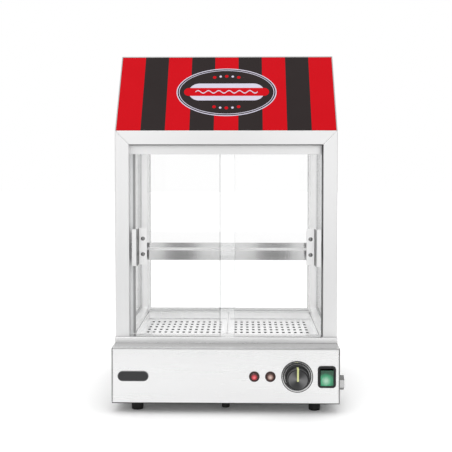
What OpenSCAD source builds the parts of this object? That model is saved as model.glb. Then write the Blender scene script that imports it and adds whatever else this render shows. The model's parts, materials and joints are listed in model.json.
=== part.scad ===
// Countertop steamer with a glass cabinet, two perforated trays, a shelf and a striped sloping roof.
// Millimetres, Z up, front towards -Y. The feet stand on Z = 0.

/* [Cabinet] */
// Width over the cabinet's frame
cab_w = 320; // [300:1:360]
// Depth from the front face of the frame to its back face
cab_d = 267; // [250:1:320]
// Height of the frame above the sill
frame_h = 298; // [280:1:340]
// Side of the square frame tube
tube = 20; // [18:0.5:22]
// Wall of the frame tube
tube_wall = 1.2; // [1:0.1:2]
// Height of the sill that the frame stands on
sill_h = 9; // [8:0.5:12]
// How far the sill and the base stand proud of the frame
sill_proud = 1; // [0.5:0.5:3]
// Height of the low channel under the back pane
back_sill_h = 3; // [2:0.5:6]

/* [Base] */
// Height of the base between the feet and the deck
base_h = 77; // [74:1:90]
// Deck strip in front of the cabinet
deck_front = 38; // [36:1:50]
// Deck strip behind the cabinet
deck_back = 5; // [3:1:12]
// Radius of the base's upright corners
base_corner_r = 3; // [2.5:0.5:5]
// Sheet of the base, the deck and the roof
sheet = 1.5; // [1:0.1:2]
// Distance between the vent slots under the base
vent_pitch = 9; // [8:0.5:12]
// Number of vent slots
vent_count = 8; // [4:1:12]
// Length of a vent slot
vent_l = 26; // [16:1:30]
// Width of a vent slot
vent_w = 3; // [2:0.5:4]

/* [Feet] */
// Height of the feet
foot_h = 16; // [12:1:24]
// Diameter of a foot at the floor
foot_d = 16.5; // [14:0.5:20]
// Diameter of a foot under the base
foot_top_d = 18; // [16:0.5:22]
// Distance of the feet from the base's sides
foot_inset_x = 34; // [24:1:44]
// Distance of the feet from the base's front and back
foot_inset_y = 26; // [20:1:34]
// Diameter of the small middle foot
mid_foot_d = 11; // [9:0.5:14]
// Height of the small middle foot
mid_foot_h = 13; // [10:0.5:15]
// Diameter of the foot screws
foot_screw_d = 4; // [3:0.5:5]
// Diameter of the foot screws' heads
foot_screw_head_d = 8; // [7:0.5:9]
// Height of the foot screws' heads
foot_screw_head_h = 2.5; // [2:0.5:3]
// Depth of the recess that hides a foot screw's head
foot_recess_h = 5; // [4:0.5:6]
// Thickness of the foot screws' nuts
foot_nut_t = 2; // [1.5:0.1:2.4]

/* [Water tank and heater] */
// Sheet of the tank
tank_wall = 1.2; // [1:0.1:2]
// Distance of the tank's front wall behind the frame's front face
tank_front = 6; // [4:1:12]
// Gap between the bottom plate and the tank
tank_lift = 3; // [3:0.5:8]
// Distance of the deck's opening behind the frame's front face
well_front = 42; // [40:1:50]
// Deck rim left between the opening and the back frame
well_back = 4; // [3:0.5:8]
// Deck rim left between the opening and the side frames
well_side = 1; // [0.5:0.5:3]
// Diameter of the heater's tube
heater_d = 8; // [6:0.5:10]
// Distance between the heater's two legs
heater_gap = 120; // [90:1:150]
// Depth that the heater reaches into the tank
heater_reach = 210; // [180:1:225]
// Height of the heater above the tank's floor
heater_lift = 14; // [10:1:20]
// Length of the heater's cold ends in front of the tank
heater_tail = 16; // [12:1:22]
// Width across flats of the heater's nuts
heater_nut_af = 16; // [13:1:19]
// Thickness of the heater's nuts
heater_nut_t = 4; // [3:0.5:6]
// Diameter of the temperature bulb
bulb_d = 6; // [5:0.5:8]
// Length of the temperature bulb inside the tank
bulb_l = 100; // [80:1:120]
// Distance of the bulb right of the middle
bulb_x = 20; // [0:1:40]
// Height of the bulb above the tank's floor
bulb_lift = 30; // [24:1:36]
// Length of the bulb's fitting in front of the tank
bulb_nut_t = 7; // [5:0.5:9]
// Width across flats of the bulb's fitting
bulb_nut_af = 12; // [10:1:14]
// Distance of the safety thermostat left of the middle
cutout_x = 20; // [10:1:40]
// Height of the safety thermostat above the tank's floor
cutout_lift = 38; // [24:1:50]
// Diameter of the safety thermostat's disc
cutout_d = 16; // [12:1:20]
// Thickness of the safety thermostat's disc
cutout_t = 6; // [4:0.5:8]
// Diameter of the safety thermostat's cap
cutout_cap_d = 11; // [8:1:12]
// Thickness of the safety thermostat's cap
cutout_cap_t = 5; // [3:0.5:6]

/* [Trays] */
// Depth of a tray below the deck
tray_depth = 9; // [7:0.5:14]
// Sheet of the trays
tray_t = 1; // [0.8:0.1:1.5]
// Width of the rims that hang on the deck
tray_rim = 4; // [3:0.5:4.5]
// Gap left between the two trays
tray_gap = 1; // [0.6:0.1:2]
// Gap between a tray and the edge of the deck's opening
tray_play = 0.3; // [0.2:0.1:0.6]
// Number of slots across a tray
slot_cols = 13; // [9:1:13]
// Distance between slots across a tray
slot_pitch_x = 9.5; // [8:0.1:9.8]
// Number of rows of slots
slot_rows = 8; // [6:1:8]
// Distance between the rows of slots
slot_pitch_y = 21.7; // [18:0.1:22]
// Width of a slot
slot_w = 4.4; // [3:0.1:6]
// Length of a slot
slot_l = 10; // [6:0.5:12]
// Distance of the last row from the tray's back wall
slot_back = 33; // [28:1:36]

/* [Sliding doors] */
// Thickness of the glass
glass_t = 4; // [3:0.5:5]
// Distance of the tracks behind the frame's front face
track_y = 22; // [21:0.5:24]
// Outer walls of the tracks
track_wall = 1.6; // [1.2:0.1:2]
// Wall between the two grooves
track_mid = 2.2; // [2:0.1:3]
// Play of the glass in a groove at each side
glass_play = 0.4; // [0.2:0.1:0.6]
// Height of the top track
top_track_h = 12.5; // [11:0.5:16]
// Depth of the top track's grooves
top_groove = 10; // [8:0.5:10]
// Gap over the glass in the top groove
top_gap = 1.5; // [1:0.1:2.5]
// Height of the bottom track
low_track_h = 3; // [2.5:0.5:5]
// Depth of the bottom track's grooves
low_groove = 2; // [1.5:0.5:2]
// Gap under the glass
glass_lift = 0.2; // [0.1:0.1:0.3]
// Gap between a closed door and its post
door_stop_gap = 0.5; // [0.3:0.1:1]
// Reach of the left door past the middle
door_left_reach = 12.6; // [8:0.2:16]
// Reach of the right door past the middle
door_right_reach = 9.5; // [8:0.5:16]

/* [Handles] */
// Height of a handle
handle_h = 54; // [44:1:64]
// Height of the handles' middle above the floor
handle_z = 230; // [220:1:240]
// Sheet of a handle
handle_t = 1.5; // [1.2:0.1:2]
// Width of the leaf that is screwed to the glass
handle_leaf = 12; // [10:0.5:16]
// Distance that a handle stands out from the glass
handle_out = 21; // [16:0.5:21]
// Width of the outer flange
handle_flange = 8; // [6:0.5:8]
// Gap between the flange and the post
handle_gap = 2.5; // [2:0.5:5]
// Distance between a handle's two screws
handle_screw_pitch = 23; // [18:1:30]
// Diameter of a handle screw
handle_screw_d = 3; // [2.5:0.5:4]
// Diameter of a handle screw's head
handle_head_d = 6.2; // [5.5:0.1:7]
// Height of a handle screw's head
handle_head_h = 1.6; // [1.2:0.1:2]
// Thickness of the flat nut behind the glass
handle_nut_t = 1.2; // [1:0.1:1.5]

/* [Shelf] */
// Height of the shelf's top above the floor
shelf_z = 234; // [215:1:300]
// Height of the shelf's front edge
shelf_h = 26; // [22:1:34]
// Sheet of the shelf
shelf_t = 1.2; // [1:0.1:1.5]
// Height of the upper band of the front edge
shelf_band = 8; // [6:0.5:10]
// Height of the slanted crease under the upper band
shelf_crease = 3; // [2:0.5:4]
// How far the upper band is set back
shelf_step = 3; // [2:0.5:4]
// Distance of the shelf behind the frame's front face
shelf_front = 45; // [43:1:60]
// Gap between the shelf and the back frame
shelf_back_gap = 4; // [2:0.5:8]
// Gap between the shelf and the inner line of the posts
shelf_side_gap = 1.5; // [1:0.5:3]
// Width of the brackets' ledge
ledge_w = 22; // [18:1:26]
// Thickness of the brackets
bracket_t = 1.5; // [1.2:0.1:2]
// Height of the brackets' upright leg
bracket_h = 22; // [16:1:26]

/* [Glazing] */
// Distance of the side panes' outer face inside the frame's side
pane_inset = 4.5; // [4:0.5:6]
// Thickness of the rubber strips round the panes
seal_t = 7; // [6.5:0.5:8]
// Width of the rubber strips
seal_w = 4; // [3:0.5:5]
// Depth that a pane sits in its strip
seal_bite = 2; // [1.5:0.5:2.5]

/* [Roof] */
// Height of the roof
roof_h = 115; // [90:1:130]
// Distance that the sloping signs lean back
roof_lean = 80; // [60:1:100]

/* [Controls] */
// Height of the controls above the floor
control_z = 53.5; // [50:0.5:58]
// Distance of the switch's middle from the base's right side
switch_inset = 18.6; // [16:0.2:24]
// Width of the switch's rim
switch_w = 25.5; // [22:0.5:28]
// Height of the switch's rim
switch_h = 31; // [28:0.5:34]
// Thickness of the switch's rim
switch_rim = 2; // [1.5:0.1:3]
// Depth of the switch's body behind the panel
switch_depth = 22; // [18:1:26]
// Wall of the switch's body
switch_wall = 1.6; // [1.2:0.1:2]
// Width of the rocker
rocker_w = 18; // [15:0.5:18]
// Height of the rocker
rocker_h = 22.4; // [20:0.2:22.4]
// Distance of the rocker's pivot behind the panel's face
rocker_pivot = 3.5; // [3:0.5:5]
// How far the rocker's ends stand out from its pivot
rocker_out = 8; // [7:0.5:9]
// Depth of the rocker behind its pivot
rocker_back = 3; // [2.5:0.5:5]
// Height of the rocker's back
rocker_foot_h = 15; // [10:0.5:17]
// Depth of the hollow in the rocker's face
rocker_dish = 2.2; // [1.5:0.1:3]
// Angle of the rocker from its middle position
rocker_tilt = 6; // [4:0.5:7]
// Gap between the rocker's sides and the switch's body
rocker_side_gap = 0.3; // [0.2:0.1:0.5]
// Gap over and under the rocker
rocker_end_gap = 1.1; // [1:0.1:1.4]
// Diameter of the rocker's pivot
rocker_pin_d = 3; // [2.5:0.1:3.5]
// Distance of the knob's middle left of the switch's middle
knob_from_switch = 41.6; // [38:0.2:48]
// Diameter of the knob's skirt
knob_d = 35; // [30:0.5:38]
// Thickness of the knob's skirt
knob_skirt_h = 6; // [5:0.5:8]
// Diameter of the knob's grip
knob_grip_d = 30; // [24:0.5:32]
// Distance that the knob stands out from the panel
knob_out = 19; // [16:0.5:24]
// Thickness of the knob's face over the spindle
knob_cap = 4; // [3:0.5:6]
// Gap between the knob and the panel
knob_gap = 0.5; // [0.3:0.1:1]
// Diameter of the dial ring
dial_d = 44.6; // [42:0.2:50]
// Thickness of the dial ring
dial_t = 1.6; // [1:0.1:2.5]
// Gap between the dial ring and the knob
dial_gap = 0.6; // [0.4:0.1:1]
// Diameter of the thermostat's spindle
spindle_d = 6; // [5:0.5:7]
// Radial clearance of the spindle in its bush
spindle_play = 0.05; // [0.02:0.01:0.08]
// Diameter of the thermostat's bush
bush_d = 10; // [9:0.5:11]
// Room round the bush inside the knob
bush_room = 2; // [1:0.5:3]
// Distance that the bush stands out from the panel
bush_out = 2.5; // [2:0.5:3]
// Side of the thermostat's housing
thermostat_w = 44; // [36:1:46]
// Depth of the thermostat's housing
thermostat_depth = 28; // [22:1:30]
// Length of the spindle behind the panel
spindle_in = 14; // [10:0.5:18]
// Room left behind the spindle's end
spindle_end_gap = 2; // [1:0.5:3]
// Distance of the clear lamp left of the knob
lamp_from_knob = 37.6; // [34:0.2:44]
// Distance between the two lamps
lamp_pitch = 22.6; // [18:0.2:26]
// Diameter of a lamp's bezel
lamp_d = 14.8; // [13:0.2:17]
// Thickness of a lamp's bezel
lamp_rim = 1.5; // [1:0.1:2.5]
// Diameter of a lamp's body behind the panel
lamp_body_d = 12; // [11:0.5:12.5]
// Depth of a lamp's body behind the panel
lamp_depth = 18; // [14:1:24]
// Diameter of a lens
lens_d = 9.8; // [8:0.2:10.4]
// Depth of a lens in its bezel
lens_depth = 5; // [3:0.5:8]
// Height of a lens in front of its bezel
lens_out = 1.2; // [0.8:0.1:2]
// Radius of a lens's dome
lens_r = 9; // [8:0.5:12]
// Width of the blank badge
badge_w = 43.6; // [36:0.2:50]
// Height of the blank badge
badge_h = 14.3; // [12:0.1:18]
// Thickness of the blank badge
badge_t = 1.2; // [0.8:0.1:2]
// Distance of the badge's left end from the base's left side
badge_inset = 9; // [6:0.5:14]

/* [Drain and cord entry] */
// Distance of the drain behind the frame's front face
drain_y = 24; // [20:1:30]
// Height of the drain above the floor
drain_z = 30; // [30:0.5:34]
// Outer diameter of the drain pipe
drain_pipe_d = 16; // [14:0.5:17]
// Diameter of the drain plug's thread
plug_d = 12; // [10:0.5:13]
// Length of the drain plug's thread
plug_l = 12; // [10:0.5:16]
// Width across flats of the drain plug's head
plug_af = 19; // [17:1:21]
// Thickness of the drain plug's head
plug_head = 8; // [6:0.5:10]
// Thickness of the drain washer
washer_t = 2; // [1.5:0.1:2.5]
// Diameter of the drain washer
washer_d = 19; // [17:0.5:21]
// Distance that the drain pipe stands out of the base
pipe_out = 2; // [1:0.5:4]
// Radial gap between the plug and the pipe
plug_play = 0.1; // [0.05:0.05:0.2]
// Distance of the cord entry left of the middle, seen from the front
gland_x = 110; // [90:1:120]
// Height of the cord entry above the floor
gland_z = 48; // [40:1:60]
// Diameter of the cord entry's thread
gland_d = 16; // [14:0.5:18]
// Width across flats of the cord entry's nuts
gland_af = 22; // [20:1:24]
// Thickness of the cord entry's nuts
gland_nut_t = 5; // [4:0.5:6]
// Diameter of the cord entry's dome
gland_dome_d = 20; // [18:0.5:22]
// Distance that the cord entry stands out of the base
gland_out = 16; // [14:0.5:22]
// Diameter of the hole for the cord
cord_bore = 8; // [6:0.5:9]
// Distance of the terminal block from the cord entry
block_from_gland = 22; // [18:1:40]
// Length of the terminal block
block_l = 40; // [36:1:60]
// Depth of the terminal block
block_t = 12; // [10:0.5:14]
// Height of the terminal block
block_h = 14; // [12:1:20]
// Number of terminals
block_ways = 3; // [2:1:3]
// Distance between terminals
block_pitch = 12; // [9:0.5:13]
// Diameter of a terminal's hole
block_hole_d = 6; // [4:0.5:7]
// Depth of a terminal's hole
block_hole_h = 6; // [4:0.5:8]

/* [Hidden] */
$fn = 64;

// Overshoot of a cut through a wall
cut = 1;
// Radial clearance of a hole round a fixed body
fix_play = 0.1;

half_w = cab_w / 2;
inner_x = half_w - tube;
base_x = half_w + sill_proud;
base_y0 = -deck_front;
base_y1 = cab_d + deck_back;
back_y = cab_d - tube;

z_deck = foot_h + base_h;
z_frame = z_deck + sill_h;
z_top = z_frame + frame_h;
z_ceiling = z_top - tube;
z_roof = z_top + roof_h;
z_floor = foot_h + sheet;
panel_y = base_y0 + sheet;

well_x = inner_x - well_side;
well_y0 = well_front;
well_y1 = back_y - well_back;
tray_x0 = tray_gap / 2;
tray_x1 = well_x - tray_play;
tray_y0 = well_y0 + tray_play;
tray_y1 = well_y1 - tray_play;
tray_z = z_deck - tray_depth;

tank_x = well_x + tank_wall;
tank_y0 = tank_front;
tank_y1 = well_y1 + tank_wall;
tank_z0 = z_floor + tank_lift;
tank_z1 = z_deck - sheet;
heater_z = tank_z0 + tank_wall + heater_lift;
bulb_z = tank_z0 + tank_wall + bulb_lift;

groove_w = glass_t + 2 * glass_play;
groove_y1 = track_y + track_wall;
groove_y2 = groove_y1 + groove_w + track_mid;
track_y1 = groove_y2 + groove_w + track_wall;
track_z1 = z_ceiling - sheet;
track_z0 = track_z1 - top_track_h;
glass_z0 = z_deck + low_track_h - low_groove + glass_lift;
glass_z1 = track_z0 + top_groove - top_gap;
right_glass_y = groove_y1 + glass_play;
left_glass_y = groove_y2 + glass_play;
door_edge = inner_x - door_stop_gap;
handle_x = inner_x - handle_gap;
screw_x = handle_x - handle_flange - handle_leaf / 2;
screw_heights = [handle_z - handle_screw_pitch / 2, handle_z + handle_screw_pitch / 2];

pane_x1 = half_w - pane_inset;
pane_x0 = pane_x1 - glass_t;
seal_side = (seal_t - glass_t) / 2;
seal_x0 = pane_x0 - seal_side;
back_pane_y = back_y + (tube - glass_t) / 2;

shelf_x = inner_x - shelf_side_gap;
shelf_y1 = back_y - shelf_back_gap;
shelf_z0 = shelf_z - shelf_h;
bracket_x1 = seal_x0;
ledge_x0 = bracket_x1 - ledge_w;

roof_slope = roof_lean / roof_h;
skin_y = sheet * sqrt(1 + roof_slope * roof_slope);
ridge_y = roof_slope * (roof_h - sheet);

switch_x = base_x - switch_inset;
knob_x = switch_x - knob_from_switch;
clear_lamp_x = knob_x - lamp_from_knob;
red_lamp_x = clear_lamp_x - lamp_pitch;
switch_body_w = rocker_w + 2 * (rocker_side_gap + switch_wall);
switch_body_h = rocker_h + 2 * (rocker_end_gap + switch_wall);

// The last place is the small middle foot's.
foot_places = [
    for (x = [-base_x + foot_inset_x, base_x - foot_inset_x],
         y = [base_y0 + foot_inset_y, base_y1 - foot_inset_y]) [x, y],
    [0, base_y0 + foot_inset_y]
];
mid_foot = len(foot_places) - 1;

pipe_x1 = base_x + pipe_out;
plug_x0 = pipe_x1 + washer_t;
plug_x1 = plug_x0 + plug_head;

// The whole part is moved so that its box is centred over the origin.
shift_x = (base_x - plug_x1) / 2;
shift_y = ((deck_front + knob_out) - (base_y1 + gland_out)) / 2;

module place() {
    translate([shift_x, shift_y, 0]) children();
}

module box(x0, x1, y0, y1, z0, z1) {
    translate([x0, y0, z0]) cube([x1 - x0, y1 - y0, z1 - z0]);
}

// A flat outline given in X and Z, extruded from y0 to y1
module along_y(y0, y1) {
    translate([0, y1, 0]) rotate([90, 0, 0]) linear_extrude(y1 - y0) children();
}

// A flat outline given in Y and Z, extruded from x0 to x1
module along_x(x0, x1) {
    translate([x0, 0, 0]) rotate([90, 0, 90]) linear_extrude(x1 - x0) children();
}

// Round bars along the three axes
module rod_x(d, x0, x1, y, z) {
    translate([x0, y, z]) rotate([0, 90, 0]) cylinder(d = d, h = x1 - x0);
}

module rod_y(d, y0, y1, x, z) {
    translate([x, y0, z]) rotate([-90, 0, 0]) cylinder(d = d, h = y1 - y0);
}

// Hexagons along X and Y, given by the width across flats
module hex_x(af, x0, x1, y, z) {
    translate([x0, y, z]) rotate([0, 90, 0]) cylinder(d = af / cos(30), h = x1 - x0, $fn = 6);
}

module hex_y(af, y0, y1, x, z) {
    translate([x, y0, z]) rotate([-90, 0, 0]) cylinder(d = af / cos(30), h = y1 - y0, $fn = 6);
}

// Footprint of the base with its rounded corners, drawn in by a given amount
module base_outline(inset) {
    r = base_corner_r - inset;
    x = base_x - base_corner_r;
    y0 = base_y0 + base_corner_r;
    y1 = base_y1 - base_corner_r;
    translate([-x - r, y0]) square([2 * (x + r), y1 - y0]);
    translate([-x, y0 - r]) square([2 * x, y1 - y0 + 2 * r]);
    for (sx = [-x, x], sy = [y0, y1]) {
        translate([sx, sy]) circle(r);
    }
}

// Base

// Upright wall of the base with its rounded corners, between two depths
module base_wall(y0, y1) {
    intersection() {
        translate([0, 0, foot_h]) linear_extrude(base_h - sheet) difference() {
            base_outline(0);
            base_outline(sheet);
        }
        box(-base_x - cut, base_x + cut, y0, y1, foot_h - cut, z_deck);
    }
}

module base_front() {
    color("gainsboro") place() difference() {
        base_wall(base_y0 - cut, base_y0 + base_corner_r);
        rod_y(bush_d + 2 * fix_play, base_y0 - cut, panel_y + cut, knob_x, control_z);
        for (x = [red_lamp_x, clear_lamp_x]) {
            rod_y(lamp_body_d + 2 * fix_play, base_y0 - cut, panel_y + cut, x, control_z);
        }
        box(
            switch_x - switch_body_w / 2 - fix_play, switch_x + switch_body_w / 2 + fix_play,
            base_y0 - cut, panel_y + cut,
            control_z - switch_body_h / 2 - fix_play, control_z + switch_body_h / 2 + fix_play
        );
    }
}

module base_back() {
    color("gainsboro") place() difference() {
        base_wall(base_y1 - base_corner_r, base_y1 + cut);
        rod_y(gland_d + 2 * fix_play, base_y1 - sheet - cut, base_y1 + cut, -gland_x, gland_z);
    }
}

module base_sides() {
    color("gainsboro") place() difference() {
        for (x = [-base_x, base_x - sheet]) {
            box(x, x + sheet, base_y0 + base_corner_r, base_y1 - base_corner_r,
                foot_h, z_deck - sheet);
        }
        rod_x(drain_pipe_d + 2 * fix_play, base_x - sheet - cut, base_x + cut, drain_y, drain_z);
    }
}

module deck_plate() {
    color("silver") place() translate([0, 0, z_deck - sheet]) linear_extrude(sheet) difference() {
        base_outline(0);
        translate([-well_x, well_y0]) square([2 * well_x, well_y1 - well_y0]);
    }
}

module bottom_plate() {
    vent_y = (base_y0 + base_y1) / 2;
    color("silver") place() difference() {
        translate([0, 0, foot_h]) linear_extrude(sheet) base_outline(sheet);
        for (s = [-1, 1], i = [0 : vent_count - 1]) {
            x = s * inner_x / 2 + (i - (vent_count - 1) / 2) * vent_pitch;
            box(x - vent_w / 2, x + vent_w / 2, vent_y - vent_l / 2, vent_y + vent_l / 2,
                foot_h - cut, z_floor + cut);
        }
        for (p = foot_places) {
            translate([p[0], p[1], foot_h - cut])
                cylinder(d = foot_screw_d + 2 * fix_play, h = sheet + 2 * cut);
        }
    }
}

// A foot with a screw hole and a recess for the screw's head
module foot(d_low, d_high, h) {
    translate([0, 0, foot_h - h]) difference() {
        cylinder(d1 = d_low, d2 = d_high, h = h);
        translate([0, 0, -cut]) cylinder(d = foot_screw_d + 2 * fix_play, h = h + 2 * cut);
        translate([0, 0, -cut])
            cylinder(d = foot_screw_head_d + 2 * fix_play, h = foot_recess_h + cut);
    }
}

module rubber_feet() {
    color("#1b1b1b") place() for (i = [0 : mid_foot]) {
        p = foot_places[i];
        translate([p[0], p[1], 0]) if (i == mid_foot) {
            foot(mid_foot_d, mid_foot_d, mid_foot_h);
        } else {
            foot(foot_d, foot_top_d, foot_h);
        }
    }
}

module foot_screws() {
    color("#8c8f93") place() for (i = [0 : mid_foot]) {
        p = foot_places[i];
        seat = (i == mid_foot ? foot_h - mid_foot_h : 0) + foot_recess_h;
        translate([p[0], p[1], 0]) {
            translate([0, 0, seat - foot_screw_head_h])
                cylinder(d = foot_screw_head_d, h = foot_screw_head_h);
            translate([0, 0, seat]) cylinder(d = foot_screw_d, h = z_floor - seat);
            translate([0, 0, z_floor]) cylinder(d = foot_screw_head_d, h = foot_nut_t);
        }
    }
}

// Water tank and what hangs in it

module water_tank() {
    color("#b9bcc0") place() difference() {
        box(-tank_x, tank_x, tank_y0, tank_y1, tank_z0, tank_z1);
        box(-well_x, well_x, tank_y0 + tank_wall, well_y1, tank_z0 + tank_wall, tank_z1 + cut);
        for (s = [-1, 1]) {
            rod_y(heater_d + 2 * fix_play, tank_y0 - cut, tank_y0 + tank_wall + cut,
                  s * heater_gap / 2, heater_z);
        }
        rod_y(bulb_d + 2 * fix_play, tank_y0 - cut, tank_y0 + tank_wall + cut, bulb_x, bulb_z);
        rod_x(drain_pipe_d + 2 * fix_play, well_x - cut, tank_x + cut, drain_y, drain_z);
    }
}

module heating_element() {
    bend_y = tank_y0 + heater_reach - heater_gap / 2;
    color("#6d6a66") place() {
        for (s = [-1, 1]) {
            rod_y(heater_d, tank_y0 - heater_tail, bend_y, s * heater_gap / 2, heater_z);
            hex_y(heater_nut_af, tank_y0 - heater_nut_t, tank_y0, s * heater_gap / 2, heater_z);
            hex_y(heater_nut_af, tank_y0 + tank_wall, tank_y0 + tank_wall + heater_nut_t,
                  s * heater_gap / 2, heater_z);
        }
        translate([0, bend_y, heater_z]) rotate_extrude(angle = 180)
            translate([heater_gap / 2, 0]) circle(d = heater_d);
    }
}

module thermostat_bulb() {
    color("#b87a4a") place() {
        rod_y(bulb_d, tank_y0 - bulb_nut_t, tank_y0 + bulb_l, bulb_x, bulb_z);
        hex_y(bulb_nut_af, tank_y0 - bulb_nut_t, tank_y0, bulb_x, bulb_z);
    }
}

// Safety thermostat pressed against the tank's front wall
module overheat_cutout() {
    disc_y = tank_y0 - cutout_t;
    z = tank_z0 + tank_wall + cutout_lift;
    color("#d8d3c4") place() {
        rod_y(cutout_d, disc_y, tank_y0, -cutout_x, z);
        rod_y(cutout_cap_d, disc_y - cutout_cap_t, disc_y, -cutout_x, z);
    }
}

// Terminal block for the mains lead, on the bottom plate behind the tank
module terminal_block() {
    y0 = (tank_y1 + base_y1 - sheet - block_t) / 2;
    x0 = -gland_x + block_from_gland;
    color("#e8e4da") place() difference() {
        box(x0, x0 + block_l, y0, y0 + block_t, z_floor, z_floor + block_h);
        for (i = [0 : block_ways - 1]) {
            translate([x0 + block_l / 2 + (i - (block_ways - 1) / 2) * block_pitch,
                       y0 + block_t / 2, z_floor + block_h - block_hole_h])
                cylinder(d = block_hole_d, h = block_hole_h + cut);
        }
    }
}

// Controls

module thermostat_body() {
    bore_y = panel_y + spindle_in + spindle_end_gap;
    color("#cfcabd") place() difference() {
        union() {
            box(knob_x - thermostat_w / 2, knob_x + thermostat_w / 2, panel_y,
                panel_y + thermostat_depth,
                control_z - thermostat_w / 2, control_z + thermostat_w / 2);
            rod_y(bush_d, base_y0 - bush_out, panel_y + cut, knob_x, control_z);
        }
        rod_y(spindle_d + 2 * spindle_play, base_y0 - bush_out - cut, bore_y, knob_x, control_z);
    }
}

module knob_spindle() {
    tip_y = base_y0 - knob_out + knob_cap;
    color("#9a9da1") place()
        rod_y(spindle_d, tip_y, panel_y + spindle_in, knob_x, control_z);
}

module dial_ring() {
    color("silver") place() difference() {
        rod_y(dial_d, base_y0 - dial_t, base_y0, knob_x, control_z);
        rod_y(knob_d + 2 * dial_gap, base_y0 - dial_t - cut, base_y0 + cut, knob_x, control_z);
    }
}

module control_knob() {
    back = base_y0 - knob_gap;
    front = base_y0 - knob_out;
    color("#161616") place() difference() {
        union() {
            rod_y(knob_d, back - knob_skirt_h, back, knob_x, control_z);
            rod_y(knob_grip_d, front, back - knob_skirt_h, knob_x, control_z);
        }
        rod_y(bush_d + 2 * bush_room, base_y0 - bush_out - bush_room, back + cut,
              knob_x, control_z);
        rod_y(spindle_d + 2 * spindle_play, front + knob_cap, back, knob_x, control_z);
    }
}

module lamp_lens(x) {
    face = base_y0 - lamp_rim;
    intersection() {
        rod_y(lens_d, face - lens_out, face + lens_depth, x, control_z);
        translate([x, face - lens_out + lens_r, control_z]) sphere(r = lens_r);
    }
}

module pilot_bezels() {
    face = base_y0 - lamp_rim;
    color("#1a1a1a") place() for (x = [red_lamp_x, clear_lamp_x]) {
        difference() {
            union() {
                rod_y(lamp_d, face, base_y0, x, control_z);
                rod_y(lamp_body_d, face, base_y0 + lamp_depth, x, control_z);
            }
            rod_y(lens_d + 2 * fix_play, face - cut, face + lens_depth, x, control_z);
        }
    }
}

module pilot_lens_red() {
    color("#c4151c") place() lamp_lens(red_lamp_x);
}

module pilot_lens_amber() {
    color("#b98a5a") place() lamp_lens(clear_lamp_x);
}

module switch_housing() {
    rim = base_y0 - switch_rim;
    x = switch_x;
    z = control_z;
    room_w = rocker_w + 2 * rocker_side_gap;
    room_h = rocker_h + 2 * rocker_end_gap;
    color("#141414") place() difference() {
        union() {
            box(x - switch_w / 2, x + switch_w / 2, rim, base_y0,
                z - switch_h / 2, z + switch_h / 2);
            box(x - switch_body_w / 2, x + switch_body_w / 2, rim, base_y0 + switch_depth,
                z - switch_body_h / 2, z + switch_body_h / 2);
        }
        box(x - room_w / 2, x + room_w / 2, rim - cut, base_y0 + switch_depth - switch_wall,
            z - room_h / 2, z + room_h / 2);
        rod_x(rocker_pin_d + 2 * fix_play, x - switch_body_w / 2 - cut,
              x + switch_body_w / 2 + cut, base_y0 + rocker_pivot, z);
    }
}

module switch_rocker() {
    pin_l = rocker_w / 2 + rocker_side_gap + switch_wall;
    color("#1f8a4c") place() translate([switch_x, base_y0 + rocker_pivot, control_z])
        rotate([rocker_tilt, 0, 0]) {
            along_x(-rocker_w / 2, rocker_w / 2) polygon([
                [-rocker_out, rocker_h / 2], [-rocker_out + rocker_dish, 0],
                [-rocker_out, -rocker_h / 2], [rocker_back, -rocker_foot_h / 2],
                [rocker_back, rocker_foot_h / 2]
            ]);
            rod_x(rocker_pin_d, -pin_l, pin_l, 0, 0);
        }
}

module badge_plate() {
    x0 = -base_x + badge_inset;
    r = badge_h / 2;
    color("#2b2b2d") place() {
        box(x0 + r, x0 + badge_w - r, base_y0 - badge_t, base_y0, control_z - r, control_z + r);
        for (x = [x0 + r, x0 + badge_w - r]) {
            rod_y(badge_h, base_y0 - badge_t, base_y0, x, control_z);
        }
    }
}

// Drain and cord entry

module drain_spout() {
    color("#a7a9ac") place() difference() {
        rod_x(drain_pipe_d, well_x, pipe_x1, drain_y, drain_z);
        rod_x(plug_d + 2 * plug_play, well_x - cut, pipe_x1 + cut, drain_y, drain_z);
    }
}

module drain_washer() {
    color("#3a3a3a") place() difference() {
        rod_x(washer_d, pipe_x1, plug_x0, drain_y, drain_z);
        rod_x(plug_d + 2 * plug_play, pipe_x1 - cut, plug_x0 + cut, drain_y, drain_z);
    }
}

module drain_plug() {
    color("#b4b6b9") place() {
        rod_x(plug_d, plug_x0 - washer_t - plug_l, plug_x0 + cut, drain_y, drain_z);
        hex_x(plug_af, plug_x0, plug_x1, drain_y, drain_z);
    }
}

module cable_gland() {
    inside = base_y1 - sheet;
    color("#202020") place() difference() {
        union() {
            rod_y(gland_d, inside - gland_nut_t, base_y1 + cut, -gland_x, gland_z);
            hex_y(gland_af, inside - gland_nut_t, inside, -gland_x, gland_z);
            hex_y(gland_af, base_y1, base_y1 + gland_nut_t, -gland_x, gland_z);
            rod_y(gland_dome_d, base_y1 + gland_nut_t, base_y1 + gland_out, -gland_x, gland_z);
        }
        rod_y(cord_bore, inside - gland_nut_t - cut, base_y1 + gland_out + cut,
              -gland_x, gland_z);
    }
}

// Cabinet frame

// Bar with a half-round nose, in Y and Z, with its nose at y0
module nosed_bar(y0, y1) {
    r = sill_h / 2;
    translate([y0 + r, z_deck]) square([y1 - y0 - r, sill_h]);
    translate([y0 + r, z_deck + r]) circle(r);
}

module front_sill() {
    color("#e4e5e7") place() along_x(-base_x, base_x) nosed_bar(-sill_proud, tube);
}

module side_sill() {
    translate([0, back_y, 0]) rotate([90, 0, 0]) linear_extrude(back_y - tube)
        mirror([1, 0]) nosed_bar(-base_x, -inner_x);
}

module side_sill_left() {
    color("#d9dadc") place() mirror([1, 0, 0]) side_sill();
}

module side_sill_right() {
    color("#d9dadc") place() side_sill();
}

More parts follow.
